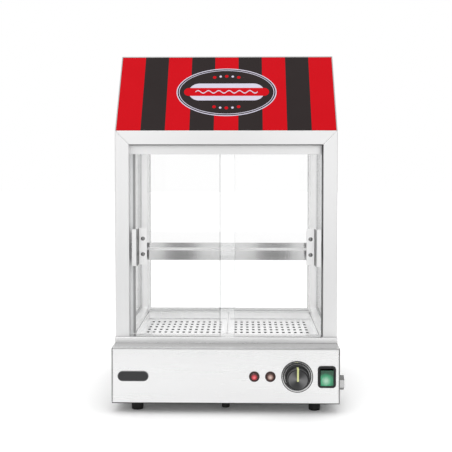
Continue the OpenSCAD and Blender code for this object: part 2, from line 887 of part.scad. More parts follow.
// Upright square tube on the right with a mitred top end
module post(y0, z0) {
    difference() {
        along_y(y0, y0 + tube) polygon([
            [inner_x, z0], [half_w, z0], [half_w, z_top], [inner_x, z_ceiling]
        ]);
        box(inner_x + tube_wall, half_w - tube_wall, y0 + tube_wall, y0 + tube - tube_wall,
            z0 - cut, z_top + cut);
    }
}

// Level square tube with two mitred ends
module header(y0) {
    difference() {
        along_y(y0, y0 + tube) polygon([
            [-half_w, z_top], [-inner_x, z_ceiling], [inner_x, z_ceiling], [half_w, z_top]
        ]);
        box(-half_w - cut, half_w + cut, y0 + tube_wall, y0 + tube - tube_wall,
            z_ceiling + tube_wall, z_top - tube_wall);
    }
}

module front_post_left() {
    color("#ecedee") place() mirror([1, 0, 0]) post(0, z_frame);
}

module front_post_right() {
    color("#ecedee") place() post(0, z_frame);
}

module front_header() {
    color("#ecedee") place() header(0);
}

module back_post_left() {
    color("#dcdddf") place() mirror([1, 0, 0]) post(back_y, z_deck);
}

module back_post_right() {
    color("#dcdddf") place() post(back_y, z_deck);
}

module back_header() {
    color("#dcdddf") place() header(back_y);
}

module back_sill() {
    color("#dcdddf") place()
        box(-inner_x, inner_x, back_y, cab_d, z_deck, z_deck + back_sill_h);
}

// Level tube along the top of the right side
module side_rail() {
    difference() {
        box(inner_x, half_w, tube, back_y, z_ceiling, z_top);
        box(inner_x + tube_wall, half_w - tube_wall, tube - cut, back_y + cut,
            z_ceiling + tube_wall, z_top - tube_wall);
    }
}

module side_rail_left() {
    color("#dcdddf") place() mirror([1, 0, 0]) side_rail();
}

module side_rail_right() {
    color("#dcdddf") place() side_rail();
}

module ceiling_panel() {
    color("#c9cbce") place()
        box(-seal_x0, seal_x0, tube, back_y, z_ceiling - sheet, z_ceiling);
}

// Glazing

module side_pane() {
    box(pane_x0, pane_x1, tube + seal_w - seal_bite, back_y - seal_w + seal_bite,
        z_frame + seal_w - seal_bite, z_ceiling - seal_w + seal_bite);
}

module side_seal() {
    difference() {
        box(seal_x0, seal_x0 + seal_t, tube, back_y, z_frame, z_ceiling);
        box(seal_x0 - cut, seal_x0 + seal_t + cut, tube + seal_w, back_y - seal_w,
            z_frame + seal_w, z_ceiling - seal_w);
        side_pane();
    }
}

module back_pane() {
    z0 = z_deck + back_sill_h;
    box(-inner_x + seal_w - seal_bite, inner_x - seal_w + seal_bite, back_pane_y,
        back_pane_y + glass_t, z0 + seal_w - seal_bite, z_ceiling - seal_w + seal_bite);
}

module back_seal() {
    z0 = z_deck + back_sill_h;
    y0 = back_pane_y - seal_side;
    difference() {
        box(-inner_x, inner_x, y0, y0 + seal_t, z0, z_ceiling);
        box(-inner_x + seal_w, inner_x - seal_w, y0 - cut, y0 + seal_t + cut, z0 + seal_w,
            z_ceiling - seal_w);
        back_pane();
    }
}

module side_glass_left() {
    color("#dfeeee") place() mirror([1, 0, 0]) side_pane();
}

module side_glass_right() {
    color("#dfeeee") place() side_pane();
}

module back_glass() {
    color("#dfeeee") place() back_pane();
}

module glazing_seals() {
    color("#4a4c4e") place() {
        side_seal();
        mirror([1, 0, 0]) side_seal();
        back_seal();
    }
}

// Sliding doors

module top_track() {
    color("#e3e4e6") place() difference() {
        box(-inner_x, inner_x, track_y, track_y1, track_z0, track_z1);
        for (y = [groove_y1, groove_y2]) {
            box(-inner_x - cut, inner_x + cut, y, y + groove_w, track_z0 - cut,
                track_z0 + top_groove);
        }
    }
}

module bottom_track() {
    color("#d5d7d9") place() difference() {
        box(-inner_x, inner_x, track_y, track_y1, z_deck, z_deck + low_track_h);
        for (y = [groove_y1, groove_y2]) {
            box(-inner_x - cut, inner_x + cut, y, y + groove_w,
                z_deck + low_track_h - low_groove, z_deck + low_track_h + cut);
        }
    }
}

module door_pane(x0, x1, y, screws_at) {
    difference() {
        box(x0, x1, y, y + glass_t, glass_z0, glass_z1);
        for (z = screw_heights) {
            rod_y(handle_screw_d + 2 * fix_play, y - cut, y + glass_t + cut, screws_at, z);
        }
    }
}

module door_glass_left() {
    color("#d6ebea") place() door_pane(-door_edge, door_left_reach, left_glass_y, -screw_x);
}

module door_glass_right() {
    color("#d6ebea") place() door_pane(-door_right_reach, door_edge, right_glass_y, screw_x);
}

// Z-shaped handle of the right door, folded from one strip
module handle(y) {
    web_x = handle_x - handle_flange;
    z0 = handle_z - handle_h / 2;
    difference() {
        translate([0, 0, z0]) linear_extrude(handle_h) polygon([
            [web_x - handle_leaf, y], [web_x + handle_t, y],
            [web_x + handle_t, y - handle_out + handle_t], [handle_x, y - handle_out + handle_t],
            [handle_x, y - handle_out], [web_x, y - handle_out], [web_x, y - handle_t],
            [web_x - handle_leaf, y - handle_t]
        ]);
        for (z = screw_heights) {
            rod_y(handle_screw_d + 2 * fix_play, y - handle_t - cut, y + cut, screw_x, z);
        }
    }
}

module handle_screws(y) {
    for (z = screw_heights) {
        rod_y(handle_head_d, y - handle_t - handle_head_h, y - handle_t, screw_x, z);
        rod_y(handle_screw_d, y - handle_t - handle_head_h / 2, y + glass_t + handle_nut_t,
              screw_x, z);
        rod_y(handle_head_d, y + glass_t, y + glass_t + handle_nut_t, screw_x, z);
    }
}

module door_handle_left() {
    color("#d4d6d8") place() mirror([1, 0, 0]) handle(left_glass_y);
}

module door_handle_right() {
    color("#d4d6d8") place() handle(right_glass_y);
}

module handle_screws_left() {
    color("#a5a7aa") place() mirror([1, 0, 0]) handle_screws(left_glass_y);
}

module handle_screws_right() {
    color("#a5a7aa") place() handle_screws(right_glass_y);
}

// Shelf

module shelf_pan() {
    z_band = shelf_z - shelf_band;
    z_low = z_band - shelf_crease;
    y1 = shelf_front + shelf_step;
    color("#c6c8cb") place() {
        box(-shelf_x, shelf_x, y1 + shelf_t, shelf_y1, shelf_z - shelf_t, shelf_z);
        along_x(-shelf_x, shelf_x) polygon([
            [y1, shelf_z], [y1, z_band], [shelf_front, z_low], [shelf_front, shelf_z0],
            [shelf_front + shelf_t, shelf_z0], [shelf_front + shelf_t, z_low],
            [y1 + shelf_t, z_band], [y1 + shelf_t, shelf_z]
        ]);
        box(-shelf_x, shelf_x, shelf_y1 - shelf_t, shelf_y1, shelf_z0, shelf_z);
        for (x = [-shelf_x, shelf_x - shelf_t]) {
            along_x(x, x + shelf_t) polygon([
                [y1, shelf_z], [y1, z_band], [shelf_front, z_low], [shelf_front, shelf_z0],
                [shelf_y1, shelf_z0], [shelf_y1, shelf_z]
            ]);
        }
    }
}

module shelf_bracket() {
    z0 = shelf_z0 - bracket_t;
    box(bracket_x1 - bracket_t, bracket_x1, tube, back_y, z0, z0 + bracket_h);
    box(ledge_x0, bracket_x1, shelf_front, shelf_y1, z0, shelf_z0);
}

module shelf_brackets() {
    color("#b5b8bb") place() for (s = [0, 1]) {
        mirror([s, 0, 0]) shelf_bracket();
    }
}

// Perforated trays

module slot() {
    run = (slot_l - slot_w) / 2;
    for (s = [-1, 1]) {
        translate([0, s * run]) circle(d = slot_w, $fn = 24);
    }
    translate([-slot_w / 2, -run]) square([slot_w, 2 * run]);
}

module tray() {
    mid_x = (tray_x0 + tray_x1) / 2;
    last_y = tray_y1 - slot_back;
    translate([0, 0, tray_z - tray_t]) linear_extrude(tray_t) difference() {
        translate([tray_x0, tray_y0]) square([tray_x1 - tray_x0, tray_y1 - tray_y0]);
        for (c = [0 : slot_cols - 1], r = [0 : slot_rows - 1]) {
            translate([mid_x + (c - (slot_cols - 1) / 2) * slot_pitch_x,
                       last_y - r * slot_pitch_y]) slot();
        }
    }
    for (x = [tray_x0, tray_x1 - tray_t]) {
        box(x, x + tray_t, tray_y0, tray_y1, tray_z - tray_t, z_deck);
    }
    box(tray_x0, tray_x1, tray_y0, tray_y0 + tray_t, tray_z - tray_t, z_deck);
    box(tray_x0, tray_x1, tray_y1 - tray_t, tray_y1, tray_z - tray_t, z_deck);
    box(tray_x0, tray_x1, tray_y0 - tray_rim, tray_y0 + tray_t, z_deck, z_deck + tray_t);
    box(tray_x0, tray_x1, tray_y1 - tray_t, tray_y1 + tray_rim, z_deck, z_deck + tray_t);
}

module tray_left() {
    color("#c2c5c9") place() mirror([1, 0, 0]) tray();
}

module tray_right() {
    color("#c2c5c9") place() tray();
}

// Roof

// Sloping panel between the two roof ends, in Y and Z
module sign_outline() {
    polygon([
        [0, z_top], [ridge_y, z_roof - sheet], [ridge_y + skin_y, z_roof - sheet],
        [skin_y, z_top]
    ]);
}

module sign_panel_front() {
    color("#d61b26") place() along_x(-half_w + sheet, half_w - sheet) sign_outline();
}

module sign_panel_back() {
    color("#d61b26") place() translate([0, cab_d, 0]) mirror([0, 1, 0])
        along_x(-half_w + sheet, half_w - sheet) sign_outline();
}

module roof_top() {
    color("#b8bbbe") place() along_x(-half_w + sheet, half_w - sheet) polygon([
        [ridge_y, z_roof - sheet], [roof_lean, z_roof], [cab_d - roof_lean, z_roof],
        [cab_d - ridge_y, z_roof - sheet]
    ]);
}

module roof_end() {
    along_x(half_w - sheet, half_w) polygon([
        [0, z_top], [roof_lean, z_roof], [cab_d - roof_lean, z_roof], [cab_d, z_top]
    ]);
}

module roof_end_left() {
    color("#c9cbce") place() mirror([1, 0, 0]) roof_end();
}

module roof_end_right() {
    color("#c9cbce") place() roof_end();
}

base_front();
base_back();
base_sides();
deck_plate();
bottom_plate();
rubber_feet();
foot_screws();
water_tank();
heating_element();
thermostat_body();
thermostat_bulb();
overheat_cutout();
terminal_block();
pilot_bezels();
pilot_lens_red();
pilot_lens_amber();
switch_housing();
switch_rocker();
dial_ring();
control_knob();
knob_spindle();
badge_plate();
drain_spout();
drain_washer();
drain_plug();
cable_gland();
front_sill();
front_post_left();
front_post_right();
front_header();
back_sill();
back_post_left();
back_post_right();
back_header();
side_sill_left();
side_sill_right();
side_rail_left();
side_rail_right();
side_glass_left();
side_glass_right();
back_glass();
glazing_seals();
top_track();
bottom_track();
ceiling_panel();
door_glass_left();
door_glass_right();
door_handle_left();
door_handle_right();
handle_screws_left();
handle_screws_right();
shelf_pan();
shelf_brackets();
tray_left();
tray_right();
sign_panel_front();
sign_panel_back();
roof_top();
roof_end_left();
roof_end_right();
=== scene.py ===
import json
import math

import bmesh
import bpy
from mathutils import Matrix, Vector


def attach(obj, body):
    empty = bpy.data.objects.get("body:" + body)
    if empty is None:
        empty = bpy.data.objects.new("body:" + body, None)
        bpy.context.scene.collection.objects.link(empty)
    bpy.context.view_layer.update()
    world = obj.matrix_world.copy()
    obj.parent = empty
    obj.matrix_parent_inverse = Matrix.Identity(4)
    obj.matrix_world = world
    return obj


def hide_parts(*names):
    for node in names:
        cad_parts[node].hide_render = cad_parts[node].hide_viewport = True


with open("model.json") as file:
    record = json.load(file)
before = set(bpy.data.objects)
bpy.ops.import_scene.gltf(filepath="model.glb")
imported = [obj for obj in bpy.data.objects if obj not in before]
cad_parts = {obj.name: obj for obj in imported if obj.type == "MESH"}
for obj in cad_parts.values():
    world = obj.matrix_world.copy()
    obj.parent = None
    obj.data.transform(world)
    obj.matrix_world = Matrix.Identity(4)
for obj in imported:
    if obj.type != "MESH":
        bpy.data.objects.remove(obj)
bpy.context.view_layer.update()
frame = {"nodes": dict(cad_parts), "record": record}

# Sizes are in millimetres from the middle of the cabinet's front face, and at() turns them into the shared frame
mm = 0.001
frameShift = Vector((-6.0, -115.5, 0.0))
bodyOf = {node: body for body, nodes in frame["record"]["behaviour"]["bodies"].items() for node in nodes}
slotOf = {node: thing.data.materials[0].name for node, thing in frame["nodes"].items()}


def at(x, y, z):
    return (Vector((x, y, z)) + frameShift) * mm


def linked(name, data):
    thing = bpy.data.objects.new(name, data)
    bpy.context.scene.collection.objects.link(thing)
    return thing


def local(point):
    # Back from the shared frame to millimetres
    return point / mm - frameShift


# Shader and geometry trees

class Wire:
    # A node's output that can be used in sums

    def __init__(self, tree, socket):
        self.tree, self.socket = tree, socket

    def sum(self, operation, first, second):
        return self.tree.add("ShaderNodeMath", {0: first, 1: second}, operation=operation)

    def __add__(self, other):
        return self.sum("ADD", self, other)

    def __sub__(self, other):
        return self.sum("SUBTRACT", self, other)

    def __mul__(self, other):
        return self.sum("MULTIPLY", self, other)

    def __rsub__(self, other):
        return self.sum("SUBTRACT", other, self)

    def __pow__(self, other):
        return self.sum("POWER", self, other)

    def __rpow__(self, other):
        return self.sum("POWER", other, self)

    __radd__ = __add__
    __rmul__ = __mul__


class Tree:
    # Adds nodes to one node tree

    def __init__(self, nodeTree):
        self.nodeTree = nodeTree

    def add(self, kind, sockets=None, out=0, **settings):
        node = self.nodeTree.nodes.new(kind)
        for name, value in settings.items():
            if name == "stops":
                ramp = node.color_ramp
                ramp.elements[0].position, ramp.elements[1].position = value[0][0], value[-1][0]
                for place, _ in value[1:-1]:
                    ramp.elements.new(place)
                for element, (_, shade) in zip(ramp.elements, value):
                    element.color = (*shade, 1.0)
            else:
                setattr(node, name, value)
        for name, value in (sockets or {}).items():
            if isinstance(value, Wire):
                self.nodeTree.links.new(value.socket, node.inputs[name])
            else:
                node.inputs[name].default_value = value
        return Wire(self, node.outputs[out] if node.outputs else None)

    def mix(self, share, first, second):
        first, second = (v if isinstance(v, Wire) else (*v, 1.0) for v in (first, second))
        return self.add("ShaderNodeMix", {0: share, 6: first, 7: second}, data_type="RGBA", out=2)

    def noise(self, place, scale, detail=3.0, roughness=0.5):
        return self.add("ShaderNodeTexNoise", {"Vector": place, "Scale": scale, "Detail": detail,
                                                   "Roughness": roughness})

    def mapped(self, place=(0, 0, 0), scale=(1, 1, 1)):
        here = self.add("ShaderNodeTexCoord", out="Object")
        there = Vector(place)
        offset = [-a * b for a, b in zip(there, scale)]
        return self.add("ShaderNodeMapping", {"Vector": here, "Location": offset, "Scale": scale})

    def bump(self, height, strength, distance):
        return self.add("ShaderNodeBump", {"Height": height, "Strength": strength,
                                               "Distance": distance * mm}, out="Normal")


finishes = {}
fullWhite = (1.0, 1.0, 1.0, 1.0)


def newFinish(name):
    finish = finishes[name] = bpy.data.materials.new(name)
    finish.use_nodes = True
    finish.node_tree.nodes.clear()
    return Tree(finish.node_tree)


def surface(tree, **sockets):
    named = {key.replace("_", " ").title().replace("Ior", "IOR"): value for key, value in sockets.items()}
    for key in ("Base Color", "Emission Color"):
        if key in named and not isinstance(named[key], Wire):
            named[key] = (*named[key], 1.0)
    return tree.add("ShaderNodeBsdfPrincipled", named)


def output(tree, shader):
    tree.add("ShaderNodeOutputMaterial", {"Surface": shader})


def veil(tree, share, shader):
    # The shader covers its share, the rest lets the light straight through
    clear = tree.add("ShaderNodeBsdfTransparent", {"Color": fullWhite})
    output(tree, tree.add("ShaderNodeMixShader", {0: share, 1: clear, 2: shader}))


# Camera, floor and light

cameraLook = {
    "place": (25.6, -1256.2, 359.6),
    "downwards": 2.0,   # degrees
    "leftwards": 1.165,
    "lens": 69.57,
    "lift": -0.0815,    # picture shift, as a share of its width
}

stageLook = {
    "floorSize": 16.0,      # metres
    "floorShade": 0.93,
    "glowNear": 0.05,       # what the floor under and round the object glows, for the camera and through glass only: kept low there, a painted shadow that deepens the real one
    "glowFar": 0.22,        # and to the open floor, so that it is white
    "glowMiddle": (-0.016, 0.0, 0.0),
    "glowHalf": (0.134, 0.128),   # metres, half the sides of the box that the glow grows from
    "glowReach": 0.09,
    "skyLight": 1.0,        # what falls on the object from all round
}

cardLook = {  # grey cards seen only in the metal: corners in local mm, shade, whether it shadows
    "sideLeft": (((-1150, -900, 0), (-1150, 900, 0), (-1150, 900, 1100), (-1150, -900, 1100)), 0.04, False),
    "sideRight": (((1150, -900, 0), (1150, 900, 0), (1150, 900, 1100), (1150, -900, 1100)), 0.04, False),
    "floorLeft": (((-190, -70, 1), (-1150, -900, 1), (-1150, -70, 1)), 0.03, False),
    "floorRight": (((190, -70, 1), (1150, -70, 1), (1150, -900, 1)), 0.03, False),
    "floorFar": (((-600, -480, 1), (600, -480, 1), (600, -1900, 1), (-600, -1900, 1)), 0.74, False),
    # the two shelf cards stand near the camera and show as dark reflections on the shelf's front
    "smudgeLeft": (((-208, -1243, 30), (-116, -1243, 30), (-116, -1243, 128), (-208, -1243, 128)), 0.22, True),
    "smudgeRight": (((66, -1243, 30), (164, -1243, 30), (164, -1243, 128), (66, -1243, 128)), 0.22, True),
    "middleHigh": (((-150, -1300, 362), (110, -1300, 362), (110, -1300, 560), (-150, -1300, 560)), 0.70, False),
}

lampLook = {  # place and target in metres, size in metres, power in watts
    "key": ((-0.5, -1.5, 1.9), (0.0, -0.1, 0.2), 1.3, 6.0),
    "top": ((0.25, 0.15, 2.1), (0.0, 0.0, 0.2), 1.6, 1.0),
}


def buildCamera():
    data = bpy.data.cameras.new("photoCamera")
    data.sensor_width = 36.0
    data.lens = cameraLook["lens"]
    data.shift_y = cameraLook["lift"]
    data.clip_start, data.clip_end = 0.01, 60.0
    camera = linked("photoCamera", data)
    camera.location = at(*cameraLook["place"])
    camera.rotation_euler = (math.radians(90 - cameraLook["downwards"]), 0.0,
                             math.radians(cameraLook["leftwards"]))
    bpy.context.scene.camera = camera


def seenRays(tree, *kinds):
    # 1 for rays of these kinds, 0 for all others
    paths = [tree.add("ShaderNodeLightPath", out="Is " + kind + " Ray") for kind in kinds]
    seen = paths[0]
    for path in paths[1:]:
        seen = seen.sum("MAXIMUM", seen, path)
    return seen


def buildStage():
    look = stageLook
    world = bpy.data.worlds.new("studio")
    bpy.context.scene.world = world
    world.use_nodes = True
    world.node_tree.nodes.clear()
    tree = Tree(world.node_tree)
    light = tree.add("ShaderNodeBackground", {"Color": fullWhite, "Strength": look["skyLight"]})
    white = tree.add("ShaderNodeBackground", {"Color": fullWhite, "Strength": 1.0})
    direct = seenRays(tree, "Camera", "Glossy", "Transmission")
    both = tree.add("ShaderNodeMixShader", {0: direct, 1: light, 2: white})
    tree.add("ShaderNodeOutputWorld", {"Surface": both})

    tree = newFinish("paleFloor")
    grain = tree.noise(tree.mapped(), 3.0, 2.0)
    shade = tree.mix(grain * 0.1, (look["floorShade"],) * 3, (look["floorShade"] * 0.97,) * 3)
    matt = tree.add("ShaderNodeBsdfDiffuse", {"Color": shade})
    # The glow is weaker in a box round the object's footprint, set a little off the middle: a painted shadow on the
    # floor
    sides = tree.add("ShaderNodeVectorMath", {0: tree.mapped(look["glowMiddle"])}, operation="ABSOLUTE")
    beyond = tree.add("ShaderNodeVectorMath", {0: sides, 1: (*look["glowHalf"], 0.0)}, operation="SUBTRACT")
    outside = tree.add("ShaderNodeVectorMath", {0: beyond, 1: (0.0, 0.0, 0.0)}, operation="MAXIMUM")
    away = tree.add("ShaderNodeVectorMath", {0: outside}, operation="LENGTH", out="Value")
    spread = tree.add("ShaderNodeMapRange", {
        "Value": away, "From Min": 0.0, "From Max": look["glowReach"], "To Min": look["glowNear"],
        "To Max": look["glowFar"]}, interpolation_type="SMOOTHSTEP")
    strength = seenRays(tree, "Camera", "Transmission") * spread
    glow = tree.add("ShaderNodeEmission", {"Color": fullWhite, "Strength": strength})
    output(tree, tree.add("ShaderNodeAddShader", {0: matt, 1: glow}))
    bm = bmesh.new()
    bmesh.ops.create_grid(bm, x_segments=1, y_segments=1, size=look["floorSize"] / 2)
    makeThing("floor", bm, "paleFloor")

    for name, (corners, shade, shadows) in cardLook.items():
        tree = newFinish(name + "Card")
        fade = tree.noise(tree.mapped(), 1.0, 1.0)
        output(tree, tree.add("ShaderNodeEmission", {"Color": fullWhite, "Strength": fade * 0.03 + shade}))
        bm = bmesh.new()
        bm.faces.new([bm.verts.new(at(*corner)) for corner in corners])
        card = makeThing(name + "Card", bm, name + "Card")
        card.visible_camera = card.visible_diffuse = card.visible_transmission = False
        card.visible_shadow = shadows

    for name, (place, target, size, power) in lampLook.items():
        data = bpy.data.lights.new(name + "Lamp", "AREA")
        data.size, data.energy = size, power
        lamp = linked(name + "Lamp", data)
        lamp.location = place
        lamp.rotation_euler = (Vector(target) - Vector(place)).to_track_quat("-Z", "Y").to_euler()
    bpy.context.scene.view_settings.view_transform = "Standard"


# Meshes

def makeThing(name, bm, *names):
    mesh = bpy.data.meshes.new(name)
    bm.to_mesh(mesh)
    bm.free()
    for finish in names:
        mesh.materials.append(finishes[finish])
    return linked(name, mesh)


def settle(thing):
    # Turns what the modifiers make into the thing's own mesh
    graph = bpy.context.evaluated_depsgraph_get()
    mesh = bpy.data.meshes.new_from_object(thing.evaluated_get(graph), preserve_all_data_layers=True,
                                           depsgraph=graph)
    thing.modifiers.clear()
    thing.data = mesh
    mesh.name = thing.name
    return thing


def soften(thing, width, steps=2, angle=30.0, clamped=True):
    thing.data.shade_smooth()
    edge = thing.modifiers.new("softEdge", "BEVEL")
    edge.use_clamp_overlap = clamped
    edge.width, edge.segments = width * mm, steps
    edge.limit_method, edge.angle_limit = "ANGLE", math.radians(angle)
    edge.harden_normals = True
    return settle(thing)


def smooth(thing, angle=32.0):
    thing.data.shade_smooth()
    thing.data.set_sharp_from_angle(angle=math.radians(angle))
    return thing


def copyOf(node):
    # The CAD node's triangles, with flat areas made one face
    bm = bmesh.new()
    source = frame["nodes"][node].data
    corners = [bm.verts.new(v.co) for v in source.vertices]
    for face in source.polygons:
        bm.faces.new([corners[i] for i in face.vertices])
    bmesh.ops.remove_doubles(bm, verts=bm.verts, dist=0.002 * mm)
    bmesh.ops.dissolve_limit(bm, angle_limit=math.radians(0.6), verts=bm.verts, edges=bm.edges)
    return bm


def finishOff(thing, body, slot, *nodes):
    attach(thing, body)
    if nodes:
        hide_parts(*nodes)
    return thing


def standIn(thing, node):
    return finishOff(thing, bodyOf[node], slotOf[node], node)


def pieceName(node):
    first, *others = node.split("_")
    return first + "".join(word.title() for word in others)


def dress(node, finish, edge=0.35, steps=2, name=None):
    # The CAD node's own shape with softened edges and a better finish
    thing = makeThing(name or pieceName(node), copyOf(node), finish)
    if edge:
        soften(thing, edge, steps)
    else:
        smooth(thing)
    return standIn(thing, node)


def dressAll(pieces, tail=""):
    for node, settings in pieces.items():
        dress(node + tail, *settings)


def paint(thing, pick, *names):
    # Adds the named finishes and gives each face the one that pick numbers
    for name in names:
        thing.data.materials.append(finishes[name])
    for polygon in thing.data.polygons:
        polygon.material_index = int(pick(polygon))
    return thing


def faced(bm, faces, slot):
    for face in faces:
        face.material_index = slot
    bmesh.ops.recalc_face_normals(bm, faces=faces)
    return faces


def faceUp(bm):
    # Turns a sheet so that most of it looks up
    bmesh.ops.recalc_face_normals(bm, faces=bm.faces)
    if sum(face.normal.z * face.calc_area() for face in bm.faces) < 0:
        bmesh.ops.reverse_faces(bm, faces=bm.faces)


def skin(bm, rows, closed=False):
    # Faces between rings of points, each as long as the others or a single pole
    faces = []
    for low, high in list(zip(rows, rows[1:])) + ([(rows[-1], rows[0])] if closed else []):
        count = max(len(low), len(high))
        for i in range(count):
            j = (i + 1) % count
            loop = [low[i % len(low)], low[j % len(low)], high[j % len(high)], high[i % len(high)]]
            corners = list(dict.fromkeys(loop))
            if len(corners) > 2:
                faces.append(bm.faces.new(corners))
    return faces


def turned(bm, profile, steps, origin, axis, slot=0, closed=False):
    # A turned shape: profile holds (radius, height) pairs, a zero radius is a pole
    turn = Vector((0, 0, 1)).rotation_difference(Vector(axis)).to_matrix()
    base = at(*origin)
    rings = []
    for radius, height in profile:
        ring = ellipse(radius, radius, steps) if radius > 1e-6 else [(0.0, 0.0)]
        rings.append([bm.verts.new(base + turn @ (Vector((u, v, height)) * mm)) for u, v in ring])
    return faced(bm, skin(bm, rings, closed), slot)


def plate(bm, outline, place, depth, slot=0):
    # A flat shape with a thickness: place(u, v, h) puts its points, h runs from 0 to depth
    low, high = ([bm.verts.new(place(u, v, h)) for u, v in outline] for h in (0.0, depth))
    return faced(bm, [bm.faces.new(low[::-1]), bm.faces.new(high)] + skin(bm, [low, high]), slot)


def block(bm, low, high, slot=0):
    (x0, y0, z0), (x1, y1, z1) = low, high
    return plate(bm, [(x0, y0), (x1, y0), (x1, y1), (x0, y1)], lambda u, v, h: at(u, v, z0 + h), z1 - z0, slot)


def band(bm, inner, outer, place, depth, slot=0):
    # A flat ring between two outlines with as many points each
    rows = [[bm.verts.new(place(u, v, h)) for u, v in loop]
            for loop, h in ((inner, 0.0), (outer, 0.0), (outer, depth), (inner, depth))]
    return faced(bm, skin(bm, rows, True), slot)


def ellipse(a, b, count, u=0.0, v=0.0):
    turns = [math.tau * i / count for i in range(count)]
    return [(u + a * math.cos(turn), v + b * math.sin(turn)) for turn in turns]


def roundRect(width, height, radius, steps=6):
    points = []
    for cx, cy, start in ((1, 1, 0), (-1, 1, 90), (-1, -1, 180), (1, -1, 270)):
        for i in range(steps + 1):
            a = math.radians(start + 90 * i / steps)
            points.append((cx * (width / 2 - radius) + radius * math.cos(a),
                           cy * (height / 2 - radius) + radius * math.sin(a)))
    return points


# Repeats by Geometry Nodes

def geometryTree(name, inputs):
    group = bpy.data.node_groups.new(name, "GeometryNodeTree")
    group.is_modifier = True
    for label, kind in inputs:
        group.interface.new_socket(name=label, in_out="INPUT", socket_type="NodeSocket" + kind)
    group.interface.new_socket(name="Geometry", in_out="OUTPUT", socket_type="NodeSocketGeometry")
    tree = Tree(group)
    source = group.nodes.new("NodeGroupInput")
    return group, tree, {label: Wire(tree, source.outputs[label]) for label, _ in inputs}


def endTree(tree, given, points, piece):
    # Puts the piece on the points and makes plain, dressed geometry of it
    source = tree.add("GeometryNodeObjectInfo", {"Object": given[piece]}, out="Geometry")
    copies = tree.add("GeometryNodeInstanceOnPoints", {"Points": points, "Instance": source})
    real = tree.add("GeometryNodeRealizeInstances", {"Geometry": copies})
    merged = tree.add("GeometryNodeMergeByDistance", {"Geometry": real, "Distance": 0.002 * mm})
    done = tree.add("GeometryNodeSetMaterial", {"Geometry": merged, "Material": given["Finish"]})
    tree.add("NodeGroupOutput", {"Geometry": done})


def rowTree():
    # Copies of one piece in a row
    group, tree, given = geometryTree("rowOfPieces", [
        ("Piece", "Object"), ("Count", "Int"), ("First place", "Vector"), ("Step", "Vector"),
        ("Finish", "Material")])
    line = tree.add("GeometryNodeMeshLine", {
        "Count": given["Count"], "Start Location": given["First place"], "Offset": given["Step"]}, mode="OFFSET")
    endTree(tree, given, line, "Piece")
    return group


def fieldTree():
    # A field of equal cells, such as the slots of a perforated sheet
    group, tree, given = geometryTree("perforatedField", [
        ("Cell", "Object"), ("Columns", "Int"), ("Rows", "Int"), ("Column pitch", "Float"),
        ("Row pitch", "Float"), ("Middle", "Vector"), ("Finish", "Material")])
    grid = tree.add("GeometryNodeMeshGrid", {
        "Size X": (given["Columns"] - 1) * given["Column pitch"],
        "Size Y": (given["Rows"] - 1) * given["Row pitch"],
        "Vertices X": given["Columns"], "Vertices Y": given["Rows"]})
    moved = tree.add("GeometryNodeSetPosition", {"Geometry": grid, "Offset": given["Middle"]})
    endTree(tree, given, moved, "Cell")
    return group


def grow(name, group, finish, **values):
    # Runs a tree and returns what it makes as a plain mesh object
    carrier = linked(name, bpy.data.meshes.new(name))
    maker = carrier.modifiers.new("maker", "NODES")
    maker.node_group = group
    labels = {item.name.replace(" ", "").lower(): item.identifier for item in group.interface.items_tree
              if item.in_out == "INPUT"}
    values["finish"] = finish
    for label, value in values.items():
        maker[labels[label.lower()]] = value
    return settle(carrier)


rowOfPieces, perforatedField = rowTree(), fieldTree()


# Finishes

steelLook = {  # shade, roughness, depth of the brushing, direction of the grain
    "baseSatin": (0.94, 0.28, 0.4, "x"),
    "sideSatin": (0.84, 0.30, 0.5, "x"),
    # the deck's steel is darker than the front's: painted shade for the dark reflections it shows
    "deckBright": (0.47, 0.13, 0.25, "x"),
    "postSatin": (0.91, 0.30, 0.5, "z"),
    "headerSatin": (0.91, 0.30, 0.5, "x"),
    "railSatin": (0.98, 0.36, 0.3, "y"),
    "sillBright": (0.80, 0.22, 0.3, "x"),
    "trackMetal": (0.90, 0.30, 0.4, "x"),
    "shelfBright": (0.72, 0.11, 0.35, "x"),
    "shelfTop": (0.98, 0.10, 0.2, "x"),
    "shelfCrease": (0.95, 0.55, 0.3, "x"),
    "backSatin": (1.00, 0.45, 0.3, "z"),
    "handleShade": (0.16, 0.30, 0.4, "z"),
    "plateDull": (0.30, 0.45, 0.4, "x"),
    "trayBright": (0.99, 0.28, 0.2, "y"),
    "handleSatin": (0.99, 0.28, 0.3, "z"),
    "screwBright": (0.30, 0.25, 0.2, "z"),
    "ringBright": (0.68, 0.22, 0.2, "z"),
    # the tank's steel is near black: painted shade, so the tray's slots look dark
    "tankDull": (0.10, 0.45, 0.4, "x"),
    "heaterDark": (0.30, 0.42, 0.6, "x"),
    "drainMetal": (0.62, 0.22, 0.3, "x"),
    "drainShade": (0.20, 0.26, 0.3, "x"),
    "cornerShade": (0.26, 0.36, 0.3, "z"),
    # the roof steel is darker than the rest: painted shade, so the roof's ends show as dark outlines
    "roofSatin": (0.48, 0.34, 0.5, "x"),
    "ceilingSatin": (0.90, 0.30, 0.4, "x"),
}
# how much some finishes glow, to lift what stands in the cabinet's shade: painted light, as are the lighter shades
# of these three finishes
steelGlow = {"backSatin": 0.14, "railSatin": 0.06, "trayBright": 0.03}


